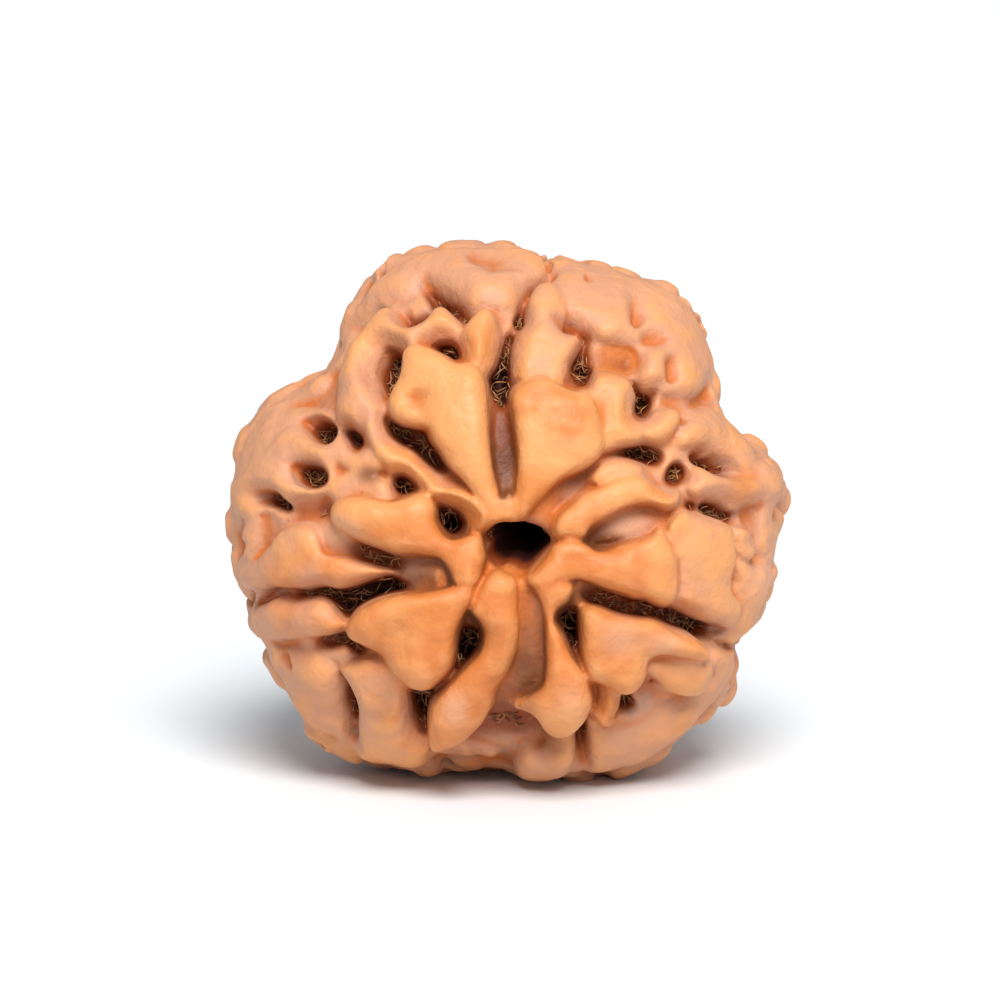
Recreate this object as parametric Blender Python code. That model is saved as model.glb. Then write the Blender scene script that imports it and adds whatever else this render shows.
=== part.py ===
"""A three-faced rudraksha seed, lying on its side with its natural tunnel level but for a slight tip.

The drawing plane is the end of the seed, seen along the tunnel: x to the right and z up from the tunnel's
centre, with y running down the tunnel to the far end. All drawn lengths are in millimetres.
"""

import math

import bpy
import numpy as np

# Fineness of the solid: points round the seed, from end to end and through the tunnel, then the grain it is
# evened out to and the number of triangles it is thinned to.
COLUMNS, ROWS, TUNNEL_ROWS = 720, 300, 60
VOXEL, TRIANGLES = 0.26, 11400

HALF_LENGTH = 8.7         # from the middle to the skin at each end, along the tunnel
SKIN_POWER = 2.3          # how squarely the skin turns from its ends to its side
TIP = math.radians(10.0)  # how far the near end of the tunnel is raised
AXIS_HEIGHT = 9.45        # of the tunnel's middle above the table

# Distance from the tunnel to the outline, by direction in degrees from +x towards +z. The seed has three
# broad lobes, each split along its crest by a cleft, and three narrower valleys between them.
OUTLINE = (
    (1, 10.5), (10, 11.3), (15, 11.5), (20, 11.2), (28, 10.0), (32, 9.3), (40, 10.6), (46, 11.5),
    (54, 12.3), (63, 12.3), (73, 12.0), (84, 11.8), (92, 12.3), (98, 12.5), (106, 12.8), (120, 12.8),
    (127, 11.8), (132, 10.9), (137, 10.3), (144, 11.1), (151, 12.2), (164, 12.2), (171, 12.0),
    (179, 11.7), (187, 11.6), (191, 11.2), (196, 11.5), (206, 11.3), (216, 11.3), (226, 11.4),
    (233, 11.1), (242, 10.5), (250, 9.8), (260, 9.2), (271, 9.4), (278, 9.7), (290, 10.2),
    (305, 10.4), (317, 10.5), (325, 10.7), (332, 10.2), (336, 9.7), (344, 10.3), (357, 10.8),
)
LOBES = (85.0, 191.0, 336.0)

# The tunnel's mouth, a rounded triangle.
MOUTH = ((12, 1.42), (60, 1.05), (100, 0.95), (148, 1.4), (196, 1.25), (235, 1.1), (275, 1.22), (325, 1.1))

# The drawing of the near end. A petal, fold, block or pit is a level at its side towards the tunnel, a level
# at its far side, then the points x, z of its outline. Levels are heights above the skin.
PETALS = (
    # Upper left petal and its ear.
    (0.75, 1.15, (-0.3, 0.8), (-1.3, 0.75), (-1.5, 1.4), (-1.8, 2.1), (-2.25, 2.75), (-2.75, 3.3),
     (-3.1, 3.85), (-3.45, 4.35), (-3.65, 4.8), (-4.1, 4.9), (-4.7, 5.05), (-5.1, 5.35), (-5.2, 5.8),
     (-5.0, 6.35), (-4.7, 6.85), (-4.6, 7.3), (-4.5, 7.8), (-4.1, 8.1), (-3.5, 7.95), (-3.0, 7.7),
     (-2.55, 7.42), (-1.9, 7.4), (-1.5, 7.1), (-1.3, 6.4), (-1.22, 5.5), (-1.15, 4.2), (-1.0, 3.2),
     (-0.75, 2.3)),
    # Upper right petal.
    (0.75, 1.2, (0.1, 0.85), (-0.1, 1.5), (-0.1, 2.3), (0.0, 3.0), (0.0, 4.0), (-0.1, 4.8), (-0.2, 5.5),
     (-0.2, 6.1), (0.0, 6.45), (0.4, 6.65), (0.9, 6.85), (1.35, 6.7), (1.9, 6.4), (2.4, 6.25), (2.75, 6.3),
     (3.05, 6.0), (3.15, 5.6), (3.3, 5.1), (3.45, 4.6), (3.5, 4.1), (3.3, 3.7), (2.95, 3.35), (2.4, 3.05),
     (1.9, 2.8), (1.4, 2.4), (1.0, 1.95), (0.55, 1.45)),
    # Where those two grow together over the tunnel.
    (0.7, 0.85, (-1.3, 0.75), (-1.3, 1.6), (-1.0, 2.3), (-0.6, 2.1), (-0.3, 2.3), (0.2, 1.7), (0.1, 0.85),
     (-0.5, 0.7)),
    # Left petal, from the rim beside the tunnel.
    (0.8, 1.05, (-1.3, -0.3), (-1.5, 0.5), (-2.0, 0.45), (-2.6, 0.3), (-3.0, 0.5), (-3.3, 1.0), (-3.4, 1.7),
     (-3.9, 2.1), (-4.5, 1.95), (-5.2, 1.8), (-6.2, 1.95), (-7.1, 1.85), (-7.5, 1.5), (-7.45, 1.0),
     (-6.9, 0.6), (-6.2, 0.25), (-5.5, 0.0), (-4.8, -0.25), (-4.0, -0.3), (-3.2, -0.5), (-2.8, -1.1),
     (-2.6, -1.6), (-2.0, -1.9), (-1.6, -1.5), (-1.4, -0.8)),
    # Lower left petal, heart-shaped.
    (0.9, 1.1, (-1.8, -1.5), (-2.6, -1.6), (-3.2, -1.75), (-4.0, -1.9), (-5.0, -2.05), (-5.8, -2.3),
     (-6.4, -2.65), (-6.75, -3.05), (-6.9, -3.45), (-6.7, -3.75), (-6.3, -3.95), (-5.9, -4.15),
     (-5.5, -4.4), (-5.3, -4.75), (-5.0, -5.15), (-4.7, -5.4), (-4.4, -5.65), (-4.0, -5.8), (-3.6, -5.75),
     (-3.3, -5.5), (-2.95, -5.2), (-2.7, -4.8), (-2.6, -4.3), (-2.55, -3.8), (-2.4, -3.2), (-2.1, -2.6),
     (-1.8, -2.1)),
    # Curved petal under the tunnel.
    (0.65, 1.0, (-0.05, -1.25), (0.0, -2.2), (0.05, -3.2), (0.0, -4.0), (-0.25, -4.8), (-0.55, -5.3),
     (-0.9, -5.8), (-1.05, -6.4), (-1.4, -7.0), (-1.9, -7.45), (-2.4, -7.7), (-3.0, -7.9), (-3.5, -8.0),
     (-3.6, -7.5), (-3.55, -6.9), (-3.4, -6.4), (-3.0, -5.95), (-2.5, -5.4), (-2.0, -4.85), (-1.6, -4.4),
     (-1.4, -3.9), (-1.4, -3.4), (-1.6, -3.0), (-1.9, -2.6), (-1.7, -2.0), (-1.3, -1.3), (-0.8, -0.95),
     (-0.4, -1.05)),
    # Lower right club and its wing.
    (0.75, 1.0, (0.6, -1.6), (0.9, -2.2), (1.1, -3.0), (1.15, -4.0), (1.15, -4.9), (1.0, -5.6),
     (0.5, -5.95), (0.0, -6.25), (-0.1, -6.5), (0.4, -6.65), (0.8, -6.9), (1.15, -7.35), (1.65, -7.55),
     (2.2, -7.4), (2.7, -6.95), (3.0, -6.35), (2.9, -5.7), (2.6, -5.05), (2.15, -4.4), (1.8, -3.6),
     (1.55, -3.05), (1.65, -2.6), (2.1, -2.2), (2.3, -1.6), (1.6, -1.3)),
    # Right petal, square at its far end.
    (0.75, 1.1, (0.3, -1.3), (0.6, -0.85), (1.05, -0.4), (1.5, 0.1), (2.2, 0.3), (2.8, 0.1), (3.2, -0.15),
     (3.7, -0.15), (4.2, 0.05), (5.0, 0.25), (5.5, 0.45), (5.8, 0.7), (6.0, 0.4), (6.2, 0.0), (6.4, -0.4),
     (6.48, -1.0), (6.45, -1.9), (6.3, -2.2), (6.0, -2.35), (5.6, -2.25), (5.2, -2.05), (4.7, -2.0),
     (4.2, -1.85), (3.5, -1.65), (2.9, -1.45), (2.4, -1.35), (1.8, -1.6), (1.2, -1.95), (0.6, -1.7)),
    # Lower right petal with its long arm.
    (0.95, 1.1, (2.6, -2.6), (2.9, -2.45), (3.4, -2.55), (4.0, -2.8), (5.0, -3.0), (5.5, -3.05),
     (6.3, -3.45), (7.0, -3.7), (7.35, -3.9), (7.55, -4.2), (7.3, -4.5), (6.5, -4.4), (6.0, -4.35),
     (5.6, -4.4), (5.3, -4.6), (5.2, -4.85), (5.15, -5.2), (5.0, -5.5), (4.7, -5.85), (4.3, -5.95),
     (3.9, -5.8), (3.4, -5.55), (2.95, -5.4), (2.85, -5.1), (2.7, -4.6), (2.65, -4.0), (2.62, -3.2)),
)
FOLDS = (
    # The plate left of the top cleft, with its two peaks, and the top lobe behind it.
    (0.6, 0.45, (-7.4, 5.0), (-7.45, 6.0), (-7.3, 7.2), (-6.9, 8.3), (-6.3, 9.1), (-5.8, 9.7), (-5.35, 9.95),
     (-4.95, 9.6), (-4.6, 9.2), (-4.1, 9.2), (-3.55, 9.7), (-3.2, 10.05), (-2.85, 9.9), (-2.4, 9.4),
     (-2.2, 9.0), (-2.3, 8.2), (-3.0, 7.2), (-4.2, 6.5), (-5.0, 5.8), (-5.6, 5.6), (-6.1, 5.0), (-6.3, 4.6),
     (-6.9, 4.7)),
    (0.15, 0.1, (-7.1, 8.8), (-6.9, 9.7), (-6.4, 10.1), (-5.6, 10.3), (-4.8, 10.4), (-4.0, 10.9),
     (-3.2, 10.9), (-2.4, 10.4), (-1.9, 9.8), (-1.2, 9.8), (-0.6, 9.7), (-0.1, 9.9), (0.3, 10.4),
     (0.7, 10.9), (1.2, 11.3), (1.0, 12.2), (-1.0, 13.0), (-4.0, 13.0), (-6.5, 12.0), (-8.0, 10.0)),
    # The broad lobe right of the cleft.
    (0.4, -0.05, (1.0, 10.7), (1.6, 9.6), (2.4, 9.1), (3.1, 8.55), (3.6, 8.35), (4.2, 8.3), (4.8, 8.1),
     (5.0, 7.6), (4.9, 7.0), (5.2, 6.6), (5.7, 6.35), (6.3, 6.2), (7.0, 6.1), (7.7, 6.3), (8.6, 7.5),
     (8.6, 9.0), (7.7, 10.6), (6.4, 11.6), (5.0, 12.2), (3.5, 12.4), (2.0, 12.2), (1.3, 11.4)),
    # The flank left of the crevice at the lower left, and the left lobe's front with its three pits.
    (0.05, -0.1, (-7.5, -5.2), (-7.5, -6.2), (-7.5, -7.0), (-7.2, -8.1), (-7.8, -8.9), (-9.4, -7.9),
     (-10.6, -6.2), (-11.2, -4.6), (-10.2, -4.2), (-9.0, -4.3), (-8.2, -4.5)),
    (0.1, 0.0, (-7.5, 2.1), (-7.35, 3.0), (-7.3, 4.0), (-7.4, 5.0), (-8.0, 5.8), (-9.0, 6.1), (-10.6, 6.3),
     (-12.0, 5.0), (-12.6, 3.0), (-12.2, 1.2), (-11.4, 1.0), (-10.6, 1.3), (-9.6, 1.7), (-8.5, 2.0)),
    # Right lobe: two folds, and what lies right of the block above its cleft.
    (0.1, -0.1, (6.5, 4.0), (7.2, 4.0), (8.0, 3.95), (8.8, 3.6), (9.4, 3.3), (10.0, 3.4), (11.0, 3.6),
     (11.6, 4.4), (10.4, 5.6), (8.4, 6.0), (7.2, 5.7), (6.6, 4.9)),
    (0.45, 0.1, (6.9, 2.3), (7.1, 3.0), (7.5, 3.4), (8.1, 3.15), (8.9, 2.95), (9.8, 3.0), (11.0, 3.2),
     (11.9, 2.6), (11.4, 1.6), (10.2, 1.6), (9.3, 1.75), (8.6, 1.95), (7.8, 2.0), (7.2, 1.95)),
    (0.3, 0.05, (8.9, -0.7), (9.4, -0.6), (10.0, -0.7), (11.0, -1.0), (10.9, -2.3), (10.0, -3.3),
     (9.0, -3.7), (8.9, -2.6), (8.8, -1.6)),
    # Underneath, right of the stub.
    (0.1, -0.05, (2.7, -8.3), (3.4, -7.7), (4.4, -7.7), (5.4, -7.3), (6.2, -6.7), (7.0, -6.4), (7.7, -5.8),
     (8.0, -5.0), (8.0, -4.3), (9.0, -4.2), (9.6, -5.0), (9.2, -6.4), (8.0, -8.0), (6.0, -9.4),
     (4.0, -10.0), (2.7, -9.8)),
)
BLOCKS = (
    # Tooth and stump either side of the top cleft.
    (0.3, 0.9, (-1.2, 9.55), (-0.95, 9.3), (-0.8, 8.8), (-0.75, 8.2), (-0.85, 7.5), (-1.2, 6.8),
     (-1.9, 7.2), (-2.4, 7.6), (-2.5, 8.1), (-2.25, 8.7), (-1.9, 9.2), (-1.5, 9.5)),
    (0.35, 0.55, (-0.25, 6.9), (-0.25, 7.8), (-0.1, 8.7), (0.25, 9.4), (0.45, 10.1), (0.9, 10.65),
     (1.6, 10.6), (2.0, 9.9), (2.0, 9.2), (1.9, 8.8), (2.45, 8.7), (2.62, 8.4), (2.45, 7.9), (2.1, 7.2),
     (1.9, 6.6), (1.4, 6.3), (0.9, 6.7), (0.5, 6.6)),
    # Pale block right of the upper right petal, and the nub beyond it.
    (0.45, 0.7, (3.0, 6.8), (3.6, 7.1), (4.1, 7.0), (4.6, 6.7), (4.9, 6.3), (4.95, 5.7), (5.05, 5.3),
     (5.25, 4.9), (5.2, 4.5), (5.0, 4.2), (4.6, 4.1), (4.0, 4.0), (3.4, 3.9), (2.8, 5.0)),
    (0.3, 0.5, (5.25, 5.35), (5.8, 5.5), (6.2, 5.65), (6.55, 5.5), (6.65, 5.1), (6.4, 4.7), (6.1, 4.35),
     (5.6, 4.2), (5.0, 4.35)),
    # The bright ridge over the right petal and the pale one above it.
    (0.6, 0.75, (1.5, 0.4), (1.6, 1.1), (2.2, 1.7), (2.7, 2.1), (3.3, 2.35), (3.9, 2.7), (4.4, 2.85),
     (5.0, 2.85), (5.35, 2.6), (5.6, 2.35), (6.1, 2.4), (6.5, 2.2), (6.5, 1.8), (6.1, 1.6), (5.3, 1.75),
     (4.6, 1.65), (4.0, 1.4), (3.5, 1.1), (3.0, 0.8), (2.6, 0.3)),
    (0.1, 0.3, (2.9, 2.6), (3.2, 3.2), (3.6, 3.5), (4.4, 3.6), (5.0, 3.4), (5.2, 3.0), (4.6, 2.6),
     (3.6, 2.3)),
    # Fold below the end of the lower right petal's arm, and the peg below that petal.
    (0.5, 0.7, (5.25, -5.15), (5.7, -5.45), (6.0, -5.8), (6.5, -6.05), (7.0, -6.05), (7.45, -5.8),
     (7.75, -5.3), (7.8, -4.8), (7.6, -4.2), (7.2, -4.0), (6.5, -4.2), (5.8, -4.4), (5.2, -4.6)),
    (0.55, 0.75, (3.15, -5.3), (4.3, -5.5), (4.5, -6.2), (4.45, -6.8), (4.15, -7.2), (3.7, -7.35),
     (3.3, -7.2), (3.15, -6.8), (3.1, -6.1)),
    # Lower left, beside the curved petal.
    (0.45, 0.3, (-7.3, -5.0), (-7.0, -4.85), (-6.6, -4.7), (-6.0, -4.5), (-5.0, -4.6), (-4.2, -5.3),
     (-4.3, -6.1), (-4.35, -6.8), (-4.25, -7.4), (-4.0, -7.75), (-3.6, -7.9), (-3.5, -8.2), (-3.6, -8.6),
     (-3.9, -9.1), (-5.2, -9.0), (-6.2, -8.9), (-6.8, -8.6), (-7.0, -8.2), (-6.85, -7.6), (-6.8, -6.9),
     (-6.8, -6.5), (-7.0, -6.1), (-7.1, -5.7), (-7.3, -5.4)),
    # Left lobe, above and below its cleft.
    (0.35, 0.15, (-10.3, 0.0), (-9.8, 0.6), (-9.2, 0.9), (-8.6, 0.9), (-8.2, 0.6), (-8.05, 0.1),
     (-7.8, -0.3), (-7.0, -0.45), (-6.4, -0.65), (-5.7, -0.85), (-5.0, -1.1), (-5.6, -1.7), (-7.3, -1.9),
     (-9.8, -2.0), (-11.6, -1.8), (-12.0, -0.9), (-10.9, -0.6)),
    (0.35, 0.05, (-11.2, -2.4), (-10.3, -2.0), (-8.8, -2.0), (-7.6, -2.2), (-7.0, -2.8), (-7.1, -3.3),
     (-7.5, -3.6), (-8.0, -3.75), (-9.2, -3.9), (-10.8, -4.2), (-11.4, -3.2)),
    # Right lobe, above its cleft.
    (0.4, 0.35, (6.2, 1.0), (6.7, 1.45), (7.2, 1.5), (7.9, 1.35), (8.5, 1.15), (8.85, 0.85), (8.9, 0.2),
     (8.95, -0.5), (8.8, -1.2), (8.75, -1.8), (9.2, -2.4), (8.9, -3.2), (8.0, -3.2), (7.0, -2.9),
     (6.3, -2.5), (6.3, -1.6), (6.3, -0.6), (6.1, 0.3)),
    (0.2, 0.15, (9.05, 0.8), (9.5, 0.75), (9.9, 0.4), (9.95, -0.2), (9.8, -0.6), (9.4, -0.7), (9.1, -0.4)),
    # The stub below the club.
    (0.6, 0.35, (0.2, -8.5), (1.0, -8.2), (1.5, -7.6), (2.2, -7.4), (2.4, -7.9), (2.45, -8.4), (2.2, -9.2),
     (1.2, -9.7), (-0.2, -9.7)),
)

# Ridges as the points of their middle lines: x, z, half-width, level of the crest.
RIDGES = (
    # The ridge that winds from the top left down to the left petal.
    ((-5.85, 5.9, 0.4, 0.3), (-5.85, 4.9, 0.42, 0.45), (-5.35, 3.95, 0.5, 0.55), (-4.6, 3.4, 0.5, 0.6),
     (-4.0, 2.7, 0.42, 0.65), (-3.65, 1.9, 0.42, 0.8)),
    ((-3.6, 2.0, 0.3, 0.6), (-2.8, 1.9, 0.3, 0.5), (-2.0, 1.5, 0.4, 0.5), (-1.6, 1.1, 0.4, 0.6)),
    # Webs between the left lobe and that ridge.
    ((-7.3, 4.0, 0.6, -0.1), (-6.6, 3.6, 0.6, 0.0), (-5.9, 3.4, 0.5, 0.1)),
    ((-7.2, 2.3, 0.6, -0.1), (-6.3, 2.6, 0.6, -0.05), (-5.5, 2.2, 0.5, 0.1)),
    # Far edge of the top lobe.
    ((-0.5, 12.0, 0.4, 0.1), (0.5, 11.9, 0.5, 0.15), (0.9, 11.3, 0.35, 0.1)),
)

# Soft rises and hollows, added to whatever lies there: x, z, half-width, rise.
SWELLS = (
    # Floors of the valleys that run out from the tunnel.
    ((-0.6, 2.4, 1.1, 0.6), (-0.6, 3.6, 1.1, 0.25), (-0.7, 4.6, 0.9, 0.0)),
    ((0.35, -1.6, 1.2, 0.85), (0.5, -3.4, 1.2, 0.6), (0.4, -5.4, 1.2, 0.5)),
    ((1.2, 1.7, 1.0, 0.55), (2.6, 2.9, 0.8, 0.25)),
    ((3.2, 0.5, 0.7, 0.35), (5.8, 0.8, 0.8, 0.45)),
    ((-3.2, -1.1, 0.9, 0.8), (-4.3, -1.0, 0.6, 0.2)),
    ((-3.6, 3.0, 0.5, 0.3), (-2.4, 2.2, 0.5, 0.5), (-1.7, 1.3, 0.4, 0.5)),
    ((2.2, -1.7, 0.7, 0.7), (3.4, -1.9, 0.5, 0.3)),
    ((-7.4, 0.5, 0.6, 0.25), (-6.7, 0.3, 0.5, 0.1)),
    ((6.8, 4.4, 0.6, 0.2), (6.6, 3.9, 0.6, 0.1)),
    ((5.7, 3.0, 0.5, 0.3),),
    # Hollows.
    ((-1.7, 11.7, 0.3, -0.35), (-1.0, 11.5, 0.35, -0.5), (-0.1, 11.4, 0.3, -0.2)),
    ((-9.9, 3.9, 0.5, -0.1), (-9.2, 3.5, 0.6, -0.3)),
    ((-9.2, 5.3, 0.6, -0.3), (-8.6, 5.6, 0.5, -0.25)),
    ((-6.0, 0.0, 0.5, -0.5), (-5.0, -0.6, 0.4, -0.4)),
    ((-9.2, 1.4, 0.45, -0.3), (-7.9, 1.4, 0.45, -0.5)),
    ((3.2, 7.6, 0.5, -0.3), (4.4, 7.5, 0.45, -0.4)),
    ((2.5, 7.2, 0.35, -0.3),),
    ((3.6, 6.5, 0.4, -0.15), (3.6, 5.6, 0.4, -0.3), (3.65, 4.6, 0.4, -0.15)),
    ((1.9, 9.6, 0.7, -0.15), (3.2, 9.8, 0.7, -0.15)),
    ((4.75, 9.9, 0.35, -0.25), (4.85, 9.3, 0.35, -0.35)),
    ((5.4, 8.4, 0.45, -0.3), (6.0, 8.5, 0.4, -0.15)),
    ((6.1, 7.5, 0.3, -0.25), (6.3, 6.9, 0.35, -0.3)),
    ((1.1, -7.4, 0.5, -0.5), (0.3, -7.2, 0.6, -0.3)),
    ((-0.8, -7.6, 0.9, -0.45), (-2.6, -8.5, 0.7, -0.5)),
    ((3.6, -8.0, 0.9, -0.2), (5.6, -6.6, 0.7, -0.25)),
    ((-5.0, -5.9, 0.5, -0.3), (-5.7, -5.2, 0.5, -0.2)),
    ((6.1, -4.9, 0.6, -0.2),),
    ((6.7, 0.4, 0.45, -0.3), (7.2, 0.5, 0.3, -0.1)),
    ((9.5, 0.2, 0.3, -0.2),),
    ((9.8, 1.5, 0.5, -0.25),),
    ((-6.0, -3.7, 0.6, -0.25), (-5.2, -4.1, 0.5, -0.2)),
)

# The same on the petals.
DENTS = (
    ((-4.1, 5.9, 0.45, -0.4), (-3.9, 5.3, 0.3, -0.15)),
    ((-2.0, 6.6, 0.8, 0.12), (-1.9, 4.2, 0.5, 0.15)),
    ((1.6, 5.6, 0.7, 0.12), (1.2, 3.8, 0.6, -0.12)),
    ((-6.6, 1.35, 0.5, 0.12), (-4.4, 1.35, 0.5, 0.12), (-3.0, -0.1, 0.5, -0.1)),
    ((-5.5, -4.4, 0.4, -0.3), (-4.8, -3.5, 0.45, -0.2)),
    ((-6.2, -2.95, 0.4, 0.15), (-4.4, -2.35, 0.4, 0.15), (-2.8, -2.1, 0.35, 0.1)),
    ((-4.0, -5.1, 0.6, 0.15),),
    ((-1.1, -3.2, 0.4, 0.15), (-1.2, -5.0, 0.35, 0.1), (-2.6, -7.0, 0.5, 0.12)),
    ((2.1, -6.4, 0.6, 0.25), (1.4, -3.9, 0.4, -0.1)),
    ((4.4, -0.9, 0.5, 0.1), (2.4, -0.6, 0.4, -0.15)),
    ((4.2, -4.3, 0.7, -0.2), (5.6, -3.9, 0.4, -0.15)),
    ((3.4, -3.1, 0.5, 0.1), (6.6, -3.9, 0.4, 0.12)),
)

# Pits and clefts: level of the floor, level it reaches at its far side, then the points of its outline.
PITS = (
    # The clefts along the crests of the three lobes.
    (-2.4, -1.8, (-1.3, 6.6), (-1.0, 6.0), (-0.75, 5.35), (-0.4, 5.6), (-0.25, 6.1), (-0.27, 6.9),
     (-0.25, 7.6), (-0.15, 8.3), (0.05, 8.8), (0.25, 9.15), (0.15, 9.5), (-0.05, 9.4), (-0.25, 9.0),
     (-0.5, 8.7), (-0.65, 8.2), (-0.8, 7.6), (-0.95, 7.2)),
    (-2.4, -1.4, (-4.3, -1.7), (-4.8, -1.25), (-5.2, -1.15), (-5.9, -1.35), (-6.6, -1.6), (-7.3, -1.75),
     (-8.0, -1.65), (-8.8, -1.8), (-9.6, -1.85), (-10.2, -1.85), (-10.6, -2.1), (-10.8, -2.4),
     (-10.5, -2.3), (-10.0, -2.1), (-9.4, -2.3), (-8.8, -2.25), (-8.2, -2.15), (-7.7, -2.35),
     (-7.3, -2.8), (-7.0, -3.05), (-6.5, -3.1), (-5.8, -2.6), (-5.0, -2.3)),
    (-1.0, -2.0, (2.7, -1.9), (3.4, -1.7), (4.2, -1.9), (5.0, -2.1), (5.6, -2.3), (6.2, -2.45),
     (7.0, -2.85), (7.6, -3.15), (8.3, -3.4), (8.7, -3.6), (8.3, -3.95), (7.8, -4.0), (7.3, -4.0),
     (6.6, -3.7), (5.8, -3.3), (5.0, -3.1), (4.2, -2.9), (3.6, -2.6), (3.0, -2.4)),
    # Left of the top cleft.
    (-1.5, -1.5, (-5.1, 8.15), (-4.75, 7.9), (-4.55, 7.4), (-4.5, 6.9), (-4.9, 6.4), (-5.1, 5.9),
     (-5.35, 5.9), (-5.55, 6.4), (-5.75, 7.0), (-5.7, 7.6), (-5.45, 8.1)),
    (-1.5, -1.5, (-5.35, 5.2), (-4.95, 5.3), (-4.4, 5.0), (-3.9, 4.8), (-3.5, 4.4), (-3.2, 3.9),
     (-2.85, 3.4), (-2.8, 3.1), (-3.2, 3.0), (-3.7, 3.35), (-4.2, 3.85), (-4.8, 4.2), (-5.2, 4.6)),
    (-1.6, -1.6, (-5.0, 2.85), (-4.6, 2.9), (-4.25, 2.6), (-4.1, 2.25), (-4.4, 1.95), (-4.8, 2.05),
     (-5.05, 2.4)),
    (-2.6, -2.6, (-3.35, 1.65), (-2.9, 1.6), (-2.4, 1.4), (-2.15, 1.0), (-2.2, 0.65), (-2.6, 0.3),
     (-3.1, 0.3), (-3.35, 0.9)),
    (-1.6, -1.6, (-3.6, 8.1), (-3.2, 8.35), (-2.7, 8.35), (-2.4, 8.0), (-2.3, 7.3), (-2.7, 7.3),
     (-3.1, 7.5), (-3.6, 7.8)),
    # Left lobe.
    (-1.4, -1.4, (-8.95, 5.3), (-8.3, 5.4), (-7.8, 5.2), (-7.55, 4.8), (-7.7, 4.35), (-8.1, 4.3),
     (-8.6, 4.6)),
    (-1.4, -1.4, (-9.3, 3.3), (-8.8, 3.45), (-8.2, 3.35), (-7.85, 3.0), (-7.9, 2.55), (-8.5, 2.4),
     (-9.1, 2.7)),
    (-1.4, -1.4, (-10.75, 2.2), (-10.2, 2.25), (-9.8, 1.95), (-9.5, 1.5), (-9.8, 1.35), (-10.3, 1.55),
     (-10.8, 1.8)),
    (-1.8, -1.8, (-7.4, -5.3), (-7.0, -5.8), (-6.7, -6.6), (-6.7, -7.4), (-6.75, -8.1), (-7.1, -7.8),
     (-7.4, -6.9), (-7.4, -6.2)),
    # Under the tunnel.
    (-2.6, -2.6, (-2.6, -3.2), (-2.0, -3.15), (-1.5, -3.3), (-1.3, -3.7), (-1.5, -4.3), (-2.0, -4.9),
     (-2.5, -5.4), (-3.1, -5.9), (-3.4, -6.5), (-3.5, -7.2), (-3.7, -7.75), (-4.05, -7.7), (-4.3, -7.2),
     (-4.4, -6.4), (-4.4, -5.6), (-3.8, -5.5), (-3.2, -5.2), (-2.7, -4.9), (-2.8, -4.0)),
    (-2.4, -2.0, (1.5, -3.0), (1.7, -2.65), (2.0, -2.45), (2.4, -2.55), (2.7, -2.9), (2.75, -3.8),
     (2.8, -4.6), (2.95, -5.2), (2.8, -5.4), (2.4, -5.0), (2.0, -4.3), (1.6, -3.6)),
    (-1.7, -1.7, (4.3, -5.9), (4.7, -5.8), (4.9, -6.4), (5.15, -6.9), (4.95, -7.2), (4.5, -7.15),
     (4.1, -7.1), (4.3, -6.6)),
    (-1.3, -1.3, (2.8, -5.4), (3.15, -5.4), (3.25, -6.1), (3.15, -6.6), (2.95, -6.3)),
    # Right of the top cleft, and the right lobe.
    (-2.0, -2.0, (4.8, 5.3), (4.85, 5.9), (5.2, 6.3), (5.75, 6.35), (5.7, 5.85), (5.5, 5.45),
     (5.2, 5.2)),
    (-1.5, -1.5, (5.95, 2.75), (6.2, 3.25), (6.6, 3.5), (7.0, 3.3), (7.0, 2.8), (6.5, 2.45), (6.1, 2.5)),
    (-1.6, -1.2, (7.5, 1.45), (7.7, 1.9), (8.4, 1.85), (9.0, 1.6), (9.5, 1.35), (9.3, 0.95), (8.9, 0.95),
     (8.4, 1.15)),
)

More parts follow.
